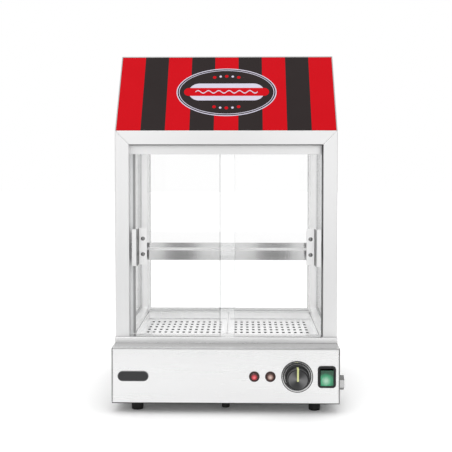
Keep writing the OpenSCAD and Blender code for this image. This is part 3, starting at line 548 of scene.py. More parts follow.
def steel(name):
    shade, rough, depth, grain = steelLook[name]
    tree = newFinish(name)
    along = {"x": 0, "y": 1, "z": 2}[grain]
    fine = tree.noise(tree.mapped(scale=[18 if i == along else 900 for i in range(3)]), 1.0, 3.0, 0.6)
    wide = tree.noise(tree.mapped(scale=[2.5 if i == along else 90 for i in range(3)]), 1.0, 2.0)
    cloud = tree.noise(tree.mapped(), 7.0, 2.0)
    pale = [min(1.0, shade * (1 + more * depth)) for more in (0.04, 0.04, 0.045)]
    tone = tree.mix(wide * 0.6 + cloud * 0.4, (shade * (1 - 0.05 * depth),) * 3, pale)
    gloss = rough + (fine - 0.5) * (0.12 * depth) + (wide - 0.5) * (0.10 * depth)
    output(tree, surface(tree, base_color=tone, metallic=1.0, roughness=gloss, emission_color=tone,
                         emission_strength=steelGlow.get(name, 0.0), normal=tree.bump(fine, 0.10 * depth, 0.05)))


plainLook = {  # colour, second colour, roughness, size of the grain in mm, depth of the grain, sheen
    "rubberBlack": ((0.014, 0.014, 0.014), (0.022, 0.021, 0.020), 0.62, 0.8, 0.25, 0.3),
    "sealGrey": ((0.42, 0.425, 0.43), (0.50, 0.505, 0.51), 0.50, 1.0, 0.10, 0.4),
    "sealPale": ((0.84, 0.845, 0.85), (0.90, 0.905, 0.91), 0.45, 1.0, 0.10, 0.4),
    # the two strip colours below are painted shade for the gaps round the doors
    "feltDark": ((0.10, 0.10, 0.102), (0.15, 0.15, 0.152), 0.80, 0.6, 0.30, 0.1),
    "feltGrey": ((0.36, 0.36, 0.362), (0.44, 0.44, 0.442), 0.80, 0.6, 0.30, 0.1),
    "blackPlastic": ((0.009, 0.009, 0.010), (0.015, 0.015, 0.016), 0.30, 0.5, 0.10, 0.35),
    "knobPlastic": ((0.008, 0.008, 0.009), (0.014, 0.014, 0.015), 0.34, 0.4, 0.08, 0.35),
    "bezelPlastic": ((0.030, 0.012, 0.011), (0.045, 0.018, 0.016), 0.28, 0.6, 0.06, 0.35),
    "badgeDark": ((0.022, 0.022, 0.024), (0.034, 0.034, 0.037), 0.30, 2.5, 0.05, 0.4),
    "badgeRim": ((0.14, 0.14, 0.15), (0.18, 0.18, 0.19), 0.30, 1.5, 0.05, 0.4),
    "ceramicWhite": ((0.62, 0.60, 0.56), (0.70, 0.68, 0.64), 0.50, 2.0, 0.20, 0.5),
    "pointerPale": ((0.62, 0.66, 0.26), (0.72, 0.75, 0.38), 0.42, 1.0, 0.05, 0.3),
    "signRed": ((0.560, 0.0025, 0.0080), (0.600, 0.0035, 0.0100), 0.40, 1.4, 0.04, 0.05),
    "signDark": ((0.0250, 0.0190, 0.0190), (0.0300, 0.0230, 0.0230), 0.42, 1.4, 0.04, 0.06),
    "signPale": ((0.600, 0.570, 0.690), (0.670, 0.640, 0.750), 0.42, 1.4, 0.04, 0.15),
}


def plain(name):
    first, second, rough, size, depth, sheen = plainLook[name]
    tree = newFinish(name)
    grain = tree.noise(tree.mapped(), 1000.0 / size, 2.0)
    cloud = tree.noise(tree.mapped(), 24.0, 3.0)
    tone = tree.mix(cloud, first, second)
    output(tree, surface(tree, base_color=tone, roughness=rough + (cloud - 0.5) * 0.08,
                         specular_ior_level=sheen, normal=tree.bump(grain, depth, 0.04)))


glassLook = {  # shade, how much shows straight on, how much more along the face, how much more in the lap
    "frontPane": ((0.90, 0.91, 0.91), 0.010, 0.70, 0.0),
    "lappedPane": ((0.96, 0.97, 0.97), 0.010, 0.70, 0.21),
    "sidePane": ((0.95, 0.955, 0.955), 0.020, 0.72, 0.0),
    "edgeDark": ((0.12, 0.14, 0.14), 0.94, 0.04, 0.0),
    "edgeFaint": ((0.46, 0.49, 0.48), 0.50, 0.30, 0.0),
    "edgeClear": ((0.86, 0.89, 0.88), 0.15, 0.30, 0.0),
}
lapLook = {"middle": 1.95, "half": 10.65}   # where one closed door stands before the other, in x


def glass(name):
    shade, straight, slanting, lapped = glassLook[name]
    tree = newFinish(name)
    facing = tree.add("ShaderNodeLayerWeight", {"Blend": 0.5}, out="Facing")
    dust = tree.noise(tree.mapped(), 30.0, 3.0)
    share = (facing ** 5.0) * slanting + straight + dust * 0.004
    if lapped:
        across = tree.add("ShaderNodeSeparateXYZ", {"Vector": tree.mapped(at(lapLook["middle"], 0, 0))}, out="X")
        lap = tree.add("ShaderNodeMath", {0: across, 1: 0.0, 2: lapLook["half"] * mm}, operation="COMPARE")
        share = share + lap * lapped
    # the lapped pane glows a little: painted light that keeps the lap pale
    sheen = surface(tree, base_color=shade, metallic=1.0, roughness=dust * 0.03 + 0.02,
                    emission_color=(1.0, 1.0, 1.0), emission_strength=0.25 if lapped else 0.0)
    veil(tree, share, sheen)


lensLook = {  # middle in mm, radius in mm, colour in the middle, towards the edge and at the edge, glow: the lens's own colour with painted light, lighter in the middle and shaded to the edge, and a small glow
    "lensRed": ((40.6, -40.0, 52.6), 5.6, (0.85, 0.20, 0.22), (0.60, 0.028, 0.045), (0.10, 0.006, 0.008), 0.10),
    "lensClear": ((63.2, -40.0, 52.9), 5.6, (0.74, 0.60, 0.54), (0.42, 0.24, 0.20), (0.07, 0.028, 0.020), 0.05),
    "lensGreen": ((141.0, -40.0, 48.5), 15.5, (0.38, 0.62, 0.47), (0.030, 0.31, 0.145), (0.002, 0.062, 0.028), 0.10),
}


def lens(name):
    middle, radius, centre, between, rim, glow = lensLook[name]
    tree = newFinish(name)
    scale = 1.0 / (radius * mm)
    # a ball of painted light: the lens is lighter round the middle and shades off to its edge
    ball = tree.add("ShaderNodeTexGradient", {"Vector": tree.mapped(at(*middle), (scale,) * 3)},
                    gradient_type="SPHERICAL")
    ripple = tree.noise(tree.mapped(), 420.0, 2.0)
    ramp = tree.add("ShaderNodeValToRGB", {"Fac": ball + (ripple - 0.5) * 0.16},
                    stops=[(0.0, rim), (0.22, rim), (0.55, between), (0.95, centre)])
    output(tree, surface(tree, base_color=ramp, emission_color=ramp, emission_strength=glow,
                         roughness=ripple * 0.06 + 0.10, coat_weight=0.6))


def clearSeal():
    # Clear silicone: half of it lets the light straight through
    tree = newFinish("clearSeal")
    cloud = tree.noise(tree.mapped(), 60.0, 3.0)
    body = surface(tree, base_color=tree.mix(cloud, (0.80, 0.81, 0.815), (0.90, 0.905, 0.91)),
                   roughness=cloud * 0.1 + 0.30)
    veil(tree, cloud * 0.06 + 0.20, body)


dishLook = {"middle": (100.8, -55.0, 53.5), "dark": (0.020, 0.020, 0.021), "light": (0.175, 0.175, 0.178)}


def dishFinish():
    # A turned dish with a painted highlight: pale to both sides, dark above and below, as turned metal catches the
    # light
    look = dishLook
    tree = newFinish("knobDish")
    spot = tree.mapped(at(*look["middle"]), (1000.0,) * 3)
    parts = [tree.add("ShaderNodeSeparateXYZ", {"Vector": spot}, out=axis) for axis in ("X", "Z")]
    turn = parts[1].sum("ARCTAN2", parts[1], parts[0])
    highlightFan = turn.sum("COSINE", turn * 2.0 + 0.5, 0.0) * 0.5 + 0.5
    rings = tree.add("ShaderNodeTexWave", {"Vector": spot, "Scale": 1.6, "Distortion": 0.3}, out="Fac",
                     wave_type="RINGS", rings_direction="Y")
    output(tree, surface(tree, base_color=tree.mix((highlightFan ** 1.5) * 0.9 + rings * 0.08, look["dark"], look["light"]),
                         roughness=rings * 0.05 + 0.30, specular_ior_level=0.4, normal=tree.bump(rings, 0.05, 0.05)))


def copperFinish():
    tree = newFinish("copperBulb")
    cloud = tree.noise(tree.mapped(), 60.0, 3.0)
    output(tree, surface(tree, base_color=tree.mix(cloud, (0.60, 0.28, 0.17), (0.74, 0.40, 0.27)), metallic=1.0,
                         roughness=cloud * 0.2 + 0.22))


for maker, look in ((steel, steelLook), (plain, plainLook), (lens, lensLook), (glass, glassLook)):
    for finish in look:
        maker(finish)
copperFinish()
dishFinish()
clearSeal()
print("finishes made:", len(finishes))


# Base

baseLook = {
    # nodes that keep their shape: finish, rounding of the edges in mm, steps of the rounding
    "dressed": {
        "base_back": ("baseSatin", 0.6, 3), "base_sides": ("sideSatin", 0), "deck_plate": ("deckBright", 0.4),
        "bottom_plate": ("plateDull", 0.3), "water_tank": ("tankDull", 0.4), "heating_element": ("heaterDark", 0),
        "thermostat_body": ("ceramicWhite", 0.4), "thermostat_bulb": ("copperBulb", 0),
        "overheat_cutout": ("ceramicWhite", 0.3), "terminal_block": ("ceramicWhite", 0.3),
        "knob_spindle": ("screwBright", 0.2),
    },
    "front": ("baseSatin", 0.6, 3),
    "cornerTurn": (0.55, 0.98),   # how far sideways the front's corner faces look that are painted darker: a painted dark reflection along its rounded corners
    # a dark box ring between the panels and the bottom plate: painted shade, standing in for the dark line along the
    # base's bottom edge
    "hemLow": (-160.4, -37.4, 14.7), "hemHigh": (160.4, 271.4, 16.0), "hemWide": 1.6, "hemEdge": 0.2,
}


def buildBase():
    look = baseLook
    low, high = look["cornerTurn"]
    paint(dress("base_front", *look["front"]), lambda face: low < abs(face.normal.x) < high, "cornerShade")
    dressAll(look["dressed"])
    (x0, y0, z0), (x1, y1, z1) = look["hemLow"], look["hemHigh"]

    def ring(inset):
        a, b, c, d = x0 + inset, y0 + inset, x1 - inset, y1 - inset
        return [(a, b), (c, b), (c, d), (a, d)]

    bm = bmesh.new()
    band(bm, ring(look["hemWide"]), ring(0), lambda u, v, h: at(u, v, z0 + h), z1 - z0)
    shadeRing = soften(makeThing("baseGasket", bm, "rubberBlack"), look["hemEdge"])
    finishOff(shadeRing, "root", slotOf["rubber_feet"])
    print("base made")


footLook = {  # places, then radii at the floor and under the base, height, rounding at the floor
    "places": [(-127, -12), (127, -12), (-127, 246), (127, 246)],
    "corner": (8.25, 9.0, 16.0, 1.2),
    "middlePlace": (0, -12),
    "middle": (5.5, 5.5, 13.0, 0.8),
    "recess": (4.3, 2.3, 3.5),  # radii of the recess and the hole, depth of the recess
    "steps": 48,
}


def foot(bm, x, y, low, high, height, rounding):
    wide, hole, deep = footLook["recess"]
    wide, hole = min(wide, low - 1.0), min(hole, low - 2.5)
    z = 16.0 - height
    profile = [(low - rounding, z), (low - rounding * 0.3, z + rounding * 0.3), (low, z + rounding),
               (high, z + height - 0.6), (high - 0.5, z + height), (hole, z + height), (hole, z + deep),
               (wide, z + deep), (wide, z + 0.3), (wide + 0.3, z)]
    turned(bm, profile, footLook["steps"], (x, y, 0), (0, 0, 1), closed=True)


def buildFeet():
    bm = bmesh.new()
    for x, y in footLook["places"]:
        foot(bm, x, y, *footLook["corner"])
    foot(bm, *footLook["middlePlace"], *footLook["middle"])
    standIn(smooth(makeThing("rubberFeet", bm, "rubberBlack")), "rubber_feet")
    dress("foot_screws", "screwBright", 0.2)
    print("feet made")


# Controls

panelFace = -38.0   # front of the base
controlHeight = 53.5

knobLook = {
    "x": 100.8,
    "steps": 128,
    # (radius, distance out of the panel)
    "skirt": [(9.0, 0.5), (17.3, 0.5), (17.5, 0.8), (17.5, 5.4), (17.2, 6.1), (16.4, 6.5), (15.2, 6.6)],
    "grip": [(15.0, 6.9), (14.9, 17.8), (14.6, 18.6), (14.0, 19.0), (13.3, 18.8), (11.4, 17.7), (10.6, 17.4),
             (6.0, 17.3), (0, 17.3)],
    "pointerWidth": 2.6,
    # the pointer along the dished face, over the rim and down the side:
    # height over the knob's middle and distance out of the panel, of its inner and outer line
    "pointerLine": [((-2.5, 17.1), (-2.5, 17.55)), ((10.4, 17.1), (10.4, 17.65)), ((11.3, 17.4), (11.3, 18.0)),
                    ((13.4, 18.4), (13.4, 19.0)), ((14.6, 18.4), (14.6, 19.0)), ((14.4, 18.2), (15.15, 18.9)),
                    ((14.6, 7.2), (15.15, 7.2))],
    "dish": (13.4, -53.0),   # radius of the dished face, and the depth that all of it lies before
}

dialLook = {   # (radius, distance out of the panel) of the black rim and of the bright ring
    "rim": [(21.4, 0), (22.3, 0), (22.3, 0.8), (22.0, 1.28), (21.4, 1.28)],
    "ring": [(18.1, 0), (21.4, 0), (21.4, 1.12), (21.1, 1.6), (19.7, 1.472), (18.4, 0.992), (18.1, 0.64)],
}


def onPanel(x, deep=0.0):
    # Puts points on the base's front, at the controls' height
    return lambda u, v, h: at(x + u, panelFace + deep - h, controlHeight + v)


def buildKnob():
    look = knobLook
    origin = (look["x"], panelFace, controlHeight)
    bm = bmesh.new()
    hollow = [(0, 12.0), (9.0, 12.0)]
    turned(bm, hollow + look["skirt"] + look["grip"], look["steps"], origin, (0, -1, 0))
    w, place = look["pointerWidth"] / 2, onPanel(look["x"])
    rows = [[bm.verts.new(place(u, v, h)) for u, (v, h) in ((-w, inner), (w, inner), (w, outer), (-w, outer))]
            for inner, outer in look["pointerLine"]]
    faced(bm, [bm.faces.new(rows[0]), bm.faces.new(rows[-1])] + skin(bm, rows), 1)
    knob = smooth(makeThing("thermostatKnob", bm, "knobPlastic", "pointerPale"), 28)
    radius, front = look["dish"]

    def pick(face):
        spot = local(face.center)
        near = math.hypot(spot.x - look["x"], spot.z - controlHeight) < radius
        dished = face.normal.y < -0.5 and near and spot.y < front
        return 2 if dished and face.material_index == 0 else face.material_index

    paint(knob, pick, "knobDish")
    standIn(knob, "control_knob")

    bm = bmesh.new()
    for slot, part in ((1, "rim"), (0, "ring")):
        turned(bm, dialLook[part], look["steps"], origin, (0, -1, 0), slot, closed=True)
    standIn(smooth(makeThing("dialRing", bm, "ringBright", "blackPlastic"), 40), "dial_ring")


lampPieceLook = {
    "places": (40.6, 63.2),
    "bezel": [(5.0, 1.5), (5.6, 1.5), (6.9, 1.4), (7.4, 0.8), (7.4, 0.0), (5.5, 0.0), (5.5, -11.0), (5.0, -11.0)],
    "steps": 64,
}


def buildPilots():
    look = lampPieceLook
    bm = bmesh.new()
    for x in look["places"]:
        turned(bm, look["bezel"], look["steps"], (x, panelFace, controlHeight), (0, -1, 0), closed=True)
    standIn(smooth(makeThing("pilotBezels", bm, "bezelPlastic")), "pilot_bezels")
    dress("pilot_lens_red", "lensRed", 0)
    dress("pilot_lens_amber", "lensClear", 0, name="pilotLensClear")


switchLook = {
    "x": 142.4,
    "rim": (25.5, 31.0, 4.8),      # width, height, corner radius
    "lip": (24.3, 29.8, 4.2),      # where the rim's face begins to fall away
    "room": (18.9, 24.0, 1.2),
    "body": (21.6, 28.0, 0.6),
    "thick": 2.0,
    "deep": 20.0,
    "wall": 1.2,
}


def buildSwitch():
    look = switchLook
    rim, lip, room, body = (roundRect(*look[part]) for part in ("rim", "lip", "room", "body"))
    hall = [(u * 0.998, v * 0.998) for u, v in room]
    loops = [(room, look["thick"] - 0.7), (hall, look["thick"]), (lip, look["thick"]), (rim, look["thick"] - 0.8),
             (rim, 0.0), (body, 0.0), (body, -look["deep"]), (room, -look["deep"])]
    bm = bmesh.new()
    place = onPanel(look["x"])
    faced(bm, skin(bm, [[bm.verts.new(place(u, v, h)) for u, v in loop] for loop, h in loops], True), 0)
    plate(bm, room, onPanel(look["x"], look["deep"]), look["wall"])
    standIn(smooth(makeThing("switchHousing", bm, "blackPlastic"), 25), "switch_housing")
    dress("switch_rocker", "lensGreen", 0.8, 3)


badgeLook = {"x": -130.2, "width": 43.6, "height": 14.3, "thick": 1.2, "rim": 0.7, "edge": 0.18}


def buildBadge():
    look = badgeLook
    bm = bmesh.new()
    place = onPanel(look["x"])

    def pill(inset):
        width, height = look["width"] - 2 * inset, look["height"] - 2 * inset
        return roundRect(width, height, height / 2 - 0.001, 16)

    band(bm, pill(look["rim"]), pill(0), place, look["thick"], 1)
    plate(bm, pill(look["rim"]), place, look["thick"] * 0.8, 0)
    standIn(soften(makeThing("blankBadge", bm, "badgeDark", "badgeRim"), look["edge"]), "badge_plate")


fittingLook = {
    "dressed": {"drain_spout": ("drainMetal", 0.3), "drain_washer": ("sealGrey", 0.3),
                "cable_gland": ("blackPlastic", 0.4)},
    "plug": ("drainMetal", 0.5, 3),
    "shadeTurn": 0.55,    # how far up or down the plug's faces look that are painted darker: painted shade on its upper and lower flats
}


def buildControls():
    buildKnob()
    buildPilots()
    buildSwitch()
    buildBadge()
    dressAll(fittingLook["dressed"])
    turn = fittingLook["shadeTurn"]
    paint(dress("drain_plug", *fittingLook["plug"]), lambda face: abs(face.normal.z) > turn, "drainShade")
    print("controls made")


# Cabinet

cabinetLook = {
    # nodes that keep their shape, once for each side and the single ones
    "sidePieces": {"front_post": ("postSatin", 1.2, 3), "back_post": ("backSatin", 1.2, 3),
                   "side_rail": ("railSatin", 1.2, 3), "side_sill": ("railSatin", 0.4)},
    "dressed": {
        "front_header": ("headerSatin", 1.2, 3), "back_header": ("headerSatin", 1.2, 3),
        "back_sill": ("trackMetal", 0.4),
        "top_track": ("trackMetal", 0.3), "bottom_track": ("trackMetal", 0.3),
        "ceiling_panel": ("ceilingSatin", 0.3),
        "glazing_seals": ("clearSeal", 0.4), "shelf_brackets": ("railSatin", 0.3),
    },
    "paneEdge": 0.5, "paneTurn": 0.99,   # rounding of a pane's edges, and how straight its faces look out
    # strips that close the gaps round the doors, the dark and grey ones painted shade standing in for the shadow in
    # the gaps: lowest corner, highest corner, finish
    "strips": [((-140.0, 20.2, 102.5), (-136.8, 21.8, 366.0), 2), ((-136.7, 20.5, 102.5), (-133.2, 21.8, 366.0), 1),
               ((139.5, 5.0, 102.5), (139.95, 21.9, 379.4), 0), ((-139.8, 3.0, 379.0), (139.4, 21.8, 379.9), 0)],
    # the front sill from its foot round the nose, as y and z
    "sill": [(-0.6, 93.0), (-1.0, 93.4), (-1.0, 99.6), (-0.6, 100.9), (0.4, 101.7), (1.8, 102.0), (20.0, 102.0),
             (20.0, 93.0)],
    "sillHalf": 161.0,
    "stripFinishes": ("feltDark", "feltGrey", "sealPale"),
}


def buildFrontSill():
    look = cabinetLook
    half = look["sillHalf"]
    bm = bmesh.new()
    plate(bm, look["sill"], lambda y, z, h: at(h - half, y, z), 2 * half)
    standIn(soften(makeThing("frontSill", bm, "sillBright"), 0.3), "front_sill")


def buildPane(node, axis, face, rim):
    pane = makeThing(pieceName(node), copyOf(node), face)
    edge, turn = cabinetLook["paneEdge"], cabinetLook["paneTurn"]
    soften(pane, edge, clamped=False)
    paint(pane, lambda part: abs(part.normal[axis]) <= turn, rim)
    standIn(pane, node)


def buildCabinet():
    look = cabinetLook
    for side in ("left", "right"):
        dressAll(look["sidePieces"], "_" + side)
        buildPane("side_glass_" + side, 0, "sidePane", "edgeClear")
    dressAll(look["dressed"])
    buildPane("back_glass", 1, "frontPane", "edgeClear")
    buildFrontSill()
    bm = bmesh.new()
    for low, high, index in look["strips"]:
        block(bm, low, high, index)
    strips = soften(makeThing("doorStrips", bm, *look["stripFinishes"]), 0.2)
    finishOff(strips, "root", slotOf["glazing_seals"])
    print("cabinet made")


handleLook = {
    "xs": (117.5, 129.5, 137.5),   # edge of the leaf, inner face of the web, edge of the flange
    "zs": (203.0, 257.0),
    "stand": 21.0,
    "bend": 2.2,
    "webTurn": 0.88,    # how far sideways the web's faces look that are painted darker: a painted dark reflection
    "screwX": 123.5,
    "screwZ": (218.5, 241.5),
    "glassFace": {"left": 31.0, "right": 24.0},
    "glassThick": 4.0,
    "leafThick": 1.5,
}


def filleted(corners, radius, steps=6):
    # An open line of points with its inner corners rounded
    points = [Vector(corners[0])]
    for before, corner, after in zip(corners, corners[1:], corners[2:]):
        before, corner, after = Vector(before), Vector(corner), Vector(after)
        a, b = (before - corner).normalized(), (after - corner).normalized()
        middle = corner + (a + b) * radius      # holds for square corners
        start, end = corner + a * radius, corner + b * radius
        for i in range(steps + 1):
            t = math.pi / 2 * i / steps
            points.append(middle + (start - middle) * math.cos(t) + (end - middle) * math.sin(t))
    return points + [Vector(corners[-1])]


def buildHandle(side, sign):
    look = handleLook
    t = look["leafThick"]
    y = look["glassFace"][side] - t / 2
    out = look["glassFace"][side] - look["stand"] + t / 2
    (leaf, web, flange), (low, high) = look["xs"], look["zs"]
    web += t / 2
    line = filleted([(leaf, y), (web, y), (web, out), (flange, out)], look["bend"])
    sides = []
    for i, point in enumerate(line):
        along = (line[min(i + 1, len(line) - 1)] - line[max(i - 1, 0)]).normalized()
        sides.append(Vector((-along.y, along.x)) * (t / 2))
    outline = [p + n for p, n in zip(line, sides)] + [p - n for p, n in zip(line, sides)][::-1]
    bm = bmesh.new()
    plate(bm, outline, lambda u, v, h: at(sign * u, v, low + h), high - low)
    handle = soften(makeThing("doorHandle" + side.title(), bm, "handleSatin"), 0.3, 2, 50)
    near = look["bend"] + t

    def pick(face):
        return abs(face.normal.x) > look["webTurn"] and abs(abs(local(face.center).x) - web) < near

    paint(handle, pick, "handleShade")
    standIn(handle, "door_handle_" + side)


screwLook = {
    "radius": 3.1, "height": 1.6, "shank": 1.5, "reach": 6.6,
    "dome": [(0, 1), (0.45, 0.96), (0.78, 0.78), (0.95, 0.48), (1, 0.18), (1, 0)],   # shares of radius and height
    "recess": (1.24, 1.15, 0.3),   # depth as a share of the height, length and width as shares of the radius
    "nut": [(1.6, 0), (3.1, 0), (3.1, 1.0), (2.9, 1.2), (1.6, 1.2)],   # (radius, distance from the glass)
    "steps": 40,
}


def screwPiece(name, axis):
    # A pan-head screw with a cross recess, its seat at the origin and its head along the axis
    look = screwLook
    radius, height, shank, reach = (look[key] for key in ("radius", "height", "shank", "reach"))
    bm = bmesh.new()
    profile = [(radius * r, height * h) for r, h in look["dome"]] + [(shank, 0), (shank, -reach), (0, -reach)]
    turned(bm, profile[::-1], look["steps"], -frameShift, (0, 0, 1))
    head = makeThing(name, bm, "screwBright")
    deep, long, wide = (size * share for size, share in zip((height, radius, radius), look["recess"]))
    bm = bmesh.new()
    for a, b in ((long, wide), (wide, long)):
        sizes = Matrix.Diagonal((a * mm, b * mm, deep * mm, 1))
        bmesh.ops.create_cube(bm, size=1.0, matrix=Matrix.Translation((0, 0, height * mm)) @ sizes)
    cutter = makeThing("crossCutter", bm)
    cut = head.modifiers.new("cross", "BOOLEAN")
    cut.operation, cut.object, cut.solver = "DIFFERENCE", cutter, "EXACT"
    cut.use_self = True
    settle(head)
    bpy.data.objects.remove(cutter)
    head.data.transform(Vector((0, 0, 1)).rotation_difference(Vector(axis)).to_matrix().to_4x4())
    return smooth(head)


def buildDoors():
    look = handleLook
    head = screwPiece("handleScrewHead", (0, -1, 0))
    nut = bmesh.new()
    turned(nut, screwLook["nut"], screwLook["steps"], -frameShift, (0, 1, 0), closed=True)
    nut = smooth(makeThing("handleNut", nut, "screwBright"))
    for side, sign in (("left", -1), ("right", 1)):
        face, rim = ("lappedPane", "edgeDark") if side == "right" else ("frontPane", "edgeFaint")
        buildPane("door_glass_" + side, 1, face, rim)
        buildHandle(side, sign)
        low, high = look["screwZ"]
        step = (0.0, 0.0, (high - low) * mm)
        y = look["glassFace"][side]
        rows = [grow("row" + str(i), rowOfPieces, finishes["screwBright"], piece=piece, count=2,
                     firstplace=at(sign * look["screwX"], depth, low), step=step)
                for i, (piece, depth) in enumerate(((head, y - look["leafThick"]), (nut, y + look["glassThick"])))]
        screws = joined("handleScrews" + side.title(), rows)
        standIn(screws, "handle_screws_" + side)
    for thing in (head, nut):
        bpy.data.objects.remove(thing)
    print("doors made")


def joined(name, things):
    bm = bmesh.new()
    for thing in things:
        bm.from_mesh(thing.data)
    made = makeThing(name, bm, "screwBright")
    for thing in things:
        bpy.data.objects.remove(thing)
    return smooth(made)


# Shelf and trays

trayLook = {
    "x": (0.5, 138.7), "y": (42.3, 242.7),
    "floor": 84.0, "deck": 93.0, "thick": 1.0, "rim": 4.0,
    "columns": 13, "rows": 8, "columnPitch": 9.5, "rowPitch": 21.7,
    "slot": (4.4, 10.0), "lastRow": 209.7,
    "bend": 0.5,
}


def slotCell():
    # One cell of the perforated sheet: a flat ring round the slot
    look = trayLook
    wide, long = look["slot"]
    inner = roundRect(wide * mm, long * mm, (wide / 2 - 0.001) * mm, 6)
    halfW, halfL = look["columnPitch"] / 2 * mm, look["rowPitch"] / 2 * mm
    bm = bmesh.new()
    ring = [bm.verts.new((x, y, 0)) for x, y in inner]
    corners = [bm.verts.new((sx * halfW, sy * halfL, 0)) for sx, sy in ((1, 1), (-1, 1), (-1, -1), (1, -1))]
    count = len(ring) // 4
    for i in range(4):
        part = ring[i * count:(i + 1) * count] + [ring[((i + 1) * count) % len(ring)]]
        middle = count // 2
        # two polygons at each corner and one along each side
        bm.faces.new([corners[i]] + part[:middle + 1][::-1])
        bm.faces.new([corners[i]] + part[middle:count][::-1])
        bm.faces.new([corners[i], part[count - 1], part[count], corners[(i + 1) % 4]][::-1])
    faceUp(bm)
    return makeThing("slotCell", bm)


def buildTray(side, sign):
    look = trayLook
    cell = slotCell()
    (x0, x1), (y0, y1) = look["x"], look["y"]
    t = look["thick"]
    midX = sign * (x0 + x1) / 2
    midY = look["lastRow"] - (look["rows"] - 1) * look["rowPitch"] / 2
    name = "tray" + side.title()
    field = grow(name + "Field", perforatedField, finishes["trayBright"], cell=cell, columns=look["columns"],
                 rows=look["rows"], columnpitch=look["columnPitch"] * mm, rowpitch=look["rowPitch"] * mm,
                 middle=at(midX, midY, look["floor"]))
    bpy.data.objects.remove(cell)
    bm = bmesh.new()
    bm.from_mesh(field.data)
    bpy.data.objects.remove(field)
    halfX = look["columns"] * look["columnPitch"] / 2
    halfY = look["rows"] * look["rowPitch"] / 2
    lowX, highX = sorted((sign * x0, sign * x1))
    fieldBox = ((midX - halfX, midX + halfX), (midY - halfY, midY + halfY))
    panBox = (lowX + t, highX - t, y0 + t, y1 - t)

    def sidesOf(v):
        # Which of the field's four sides the point lies on
        return [abs(place - side) < 0.01 for place, pair in zip(local(v.co).xy, fieldBox) for side in pair]

    sides = {v: flags for v, flags in [(v, sidesOf(v)) for v in bm.verts] if any(flags)}
    # a row of points goes from each of them over the pan's floor and wall out to the rim
    rows = {}
    for v, flags in sides.items():
        p = local(v.co)
        px = panBox[0] if flags[0] else panBox[1] if flags[1] else p.x
        py = panBox[2] if flags[2] else panBox[3] if flags[3] else p.y
        places = [(py, look["floor"]), (py, look["deck"])]
        if flags[2] or flags[3]:
            rimY = y0 - look["rim"] if flags[2] else y1 + look["rim"]
            places += [(py, look["deck"] + t), (rimY, look["deck"] + t)]
        rows[v] = [v] + [bm.verts.new(at(px, y, z)) for y, z in places]
    for edge in [e for e in bm.edges if e.verts[0] in sides and e.verts[1] in sides]:
        a, b = edge.verts
        shared = [i for i in range(4) if sides[a][i] and sides[b][i]]
        if not shared or len(edge.link_faces) != 1:
            continue
        depth = 4 if shared[0] > 1 else 2
        for i in range(depth):
            bm.faces.new([rows[a][i], rows[b][i], rows[b][i + 1], rows[a][i + 1]])
    faceUp(bm)
    tray = makeThing(name, bm, "trayBright")
    fold = tray.modifiers.new("fold", "BEVEL")
    fold.width, fold.segments = look["bend"] * mm, 3
    fold.limit_method, fold.angle_limit = "ANGLE", math.radians(40)
    wall = tray.modifiers.new("wall", "SOLIDIFY")
    wall.thickness, wall.offset = t * mm, -1.0
    wall.use_even_offset = True
    settle(tray)
    smooth(tray, 40)
    standIn(tray, "tray_" + side)


shelfLook = {"body": ("shelfBright", 0.4), "topTurn": 0.95, "creaseTurn": 0.5}   # how far the faces look up; the top and the creases get lighter steel, painted light


def buildShelfAndTrays():
    look = shelfLook

    def pick(face):
        # the shelf's top, and the creases that look up and to the front, take the lighter steel of painted light
        up, front = face.normal.z, -face.normal.y
        return 1 if up > look["topTurn"] else 2 if min(up, front) > look["creaseTurn"] else 0

    paint(dress("shelf_pan", *look["body"]), pick, "shelfTop", "shelfCrease")
    buildTray("left", -1)
    buildTray("right", 1)
    print("shelf and trays made")


# Roof and sign

signLook = {
    "stripes": 9,
    "halfWidth": 158.5,
    "foot": (0.0, 400.0), "head": (80.0, 515.0),   # y and z of the front slope
    "proud": (0.06, 0.12, 0.192, 0.252),           # how far the oval, the bun, the sausage and the wave stand out
    "oval": (74.0, 45.0),
    "ovalMiddle": 71.0, "ovalInset": 0.5,
    "lines": ((1.5, 0.0), (1.0, 3.4)),             # width and inset of the two pale lines
    "bun": (112.0, 32.0),
    "sausage": (126.0, 15.0),
    "wave": (92.0, 2.4, 1.9, 6),                   # length, half height, half thickness, turns
    "dots": 5,
    "dotRow": (9.0, 30.0, 0.55),                   # distance apart and from the middle, curve of the row
    "dotKinds": ((2.7, 0), (1.9, 2)),              # radius and number of the finish
    "steps": 96,
}


def buildSignPanel(name, node, facing):
    look = signLook
    bm = copyOf(node)
    width = 2 * look["halfWidth"] / look["stripes"]
    for i in range(1, look["stripes"]):
        x = at(-look["halfWidth"] + i * width, 0, 0)
        bmesh.ops.bisect_plane(bm, geom=bm.verts[:] + bm.edges[:] + bm.faces[:], plane_co=x, plane_no=(1, 0, 0))
    for face in bm.faces:
        middle = local(face.calc_center_median())
        stripe = int((middle.x + look["halfWidth"]) // width)
        outward = face.normal.y * facing > 0.2 and face.normal.z > 0.2
        face.material_index = stripe % 2 if outward else 2
    standIn(soften(makeThing(name, bm, "signRed", "signDark", "roofSatin"), 0.3), node)


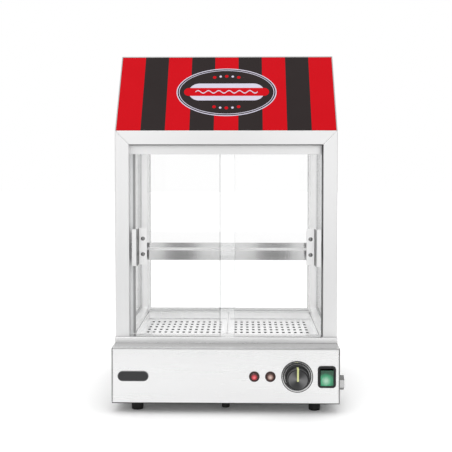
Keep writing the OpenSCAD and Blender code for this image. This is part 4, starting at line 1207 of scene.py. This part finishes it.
def buildEmblem():
    look = signLook
    (y0, z0), (y1, z1) = look["foot"], look["head"]
    run = math.hypot(y1 - y0, z1 - z0)
    up = ((y1 - y0) / run, (z1 - z0) / run)

    def onSlope(u, v, h):
        v += look["ovalMiddle"]
        return at(u, y0 + up[0] * v - up[1] * h, z0 + up[1] * v + up[0] * h)

    def oval(inset):
        a, b = look["oval"]
        return ellipse(a - inset, b - inset, look["steps"])

    def capsule(width, height):
        return roundRect(width, height, height / 2 - 0.001, 18)

    ovalOut, bunOut, sausageOut, waveOut = look["proud"]
    bm = bmesh.new()
    plate(bm, oval(look["ovalInset"]), onSlope, ovalOut, 1)
    for width, inset in look["lines"]:
        band(bm, oval(inset + width), oval(inset), onSlope, bunOut, 2)
    plate(bm, capsule(*look["bun"]), onSlope, bunOut, 2)
    plate(bm, capsule(*look["sausage"]), onSlope, sausageOut, 0)
    length, high, thick, turns = look["wave"]
    shares = [i / look["steps"] for i in range(look["steps"] + 1)]
    spine = [(length * (share - 0.5), high * math.sin(math.tau * turns * share)) for share in shares]
    outline = [(u, v - thick / 2) for u, v in spine] + [(u, v + thick / 2) for u, v in spine[::-1]]
    plate(bm, outline, onSlope, waveOut, 2)
    apart, away, sag = look["dotRow"]
    for sign in (-1, 1):
        for i in range(look["dots"]):
            spread = (i - (look["dots"] - 1) / 2)
            radius, slot = look["dotKinds"][i % 2]
            dot = ellipse(radius, radius, 20, spread * apart, sign * (away - sag * spread * spread))
            plate(bm, dot, onSlope, bunOut, slot)
    emblem = makeThing("signEmblem", bm, "signRed", "signDark", "signPale")
    finishOff(emblem, "root", "sign_paint")


def buildRoof():
    buildSignPanel("signFront", "sign_panel_front", -1)
    buildSignPanel("signBack", "sign_panel_back", 1)
    buildEmblem()
    for node in ("roof_top", "roof_end_left", "roof_end_right"):
        dress(node, "roofSatin", 0.3)
    print("roof made")


# All of it

buildCamera()
buildStage()
buildBase()
buildFeet()
buildControls()
buildCabinet()
buildDoors()
buildShelfAndTrays()
buildRoof()
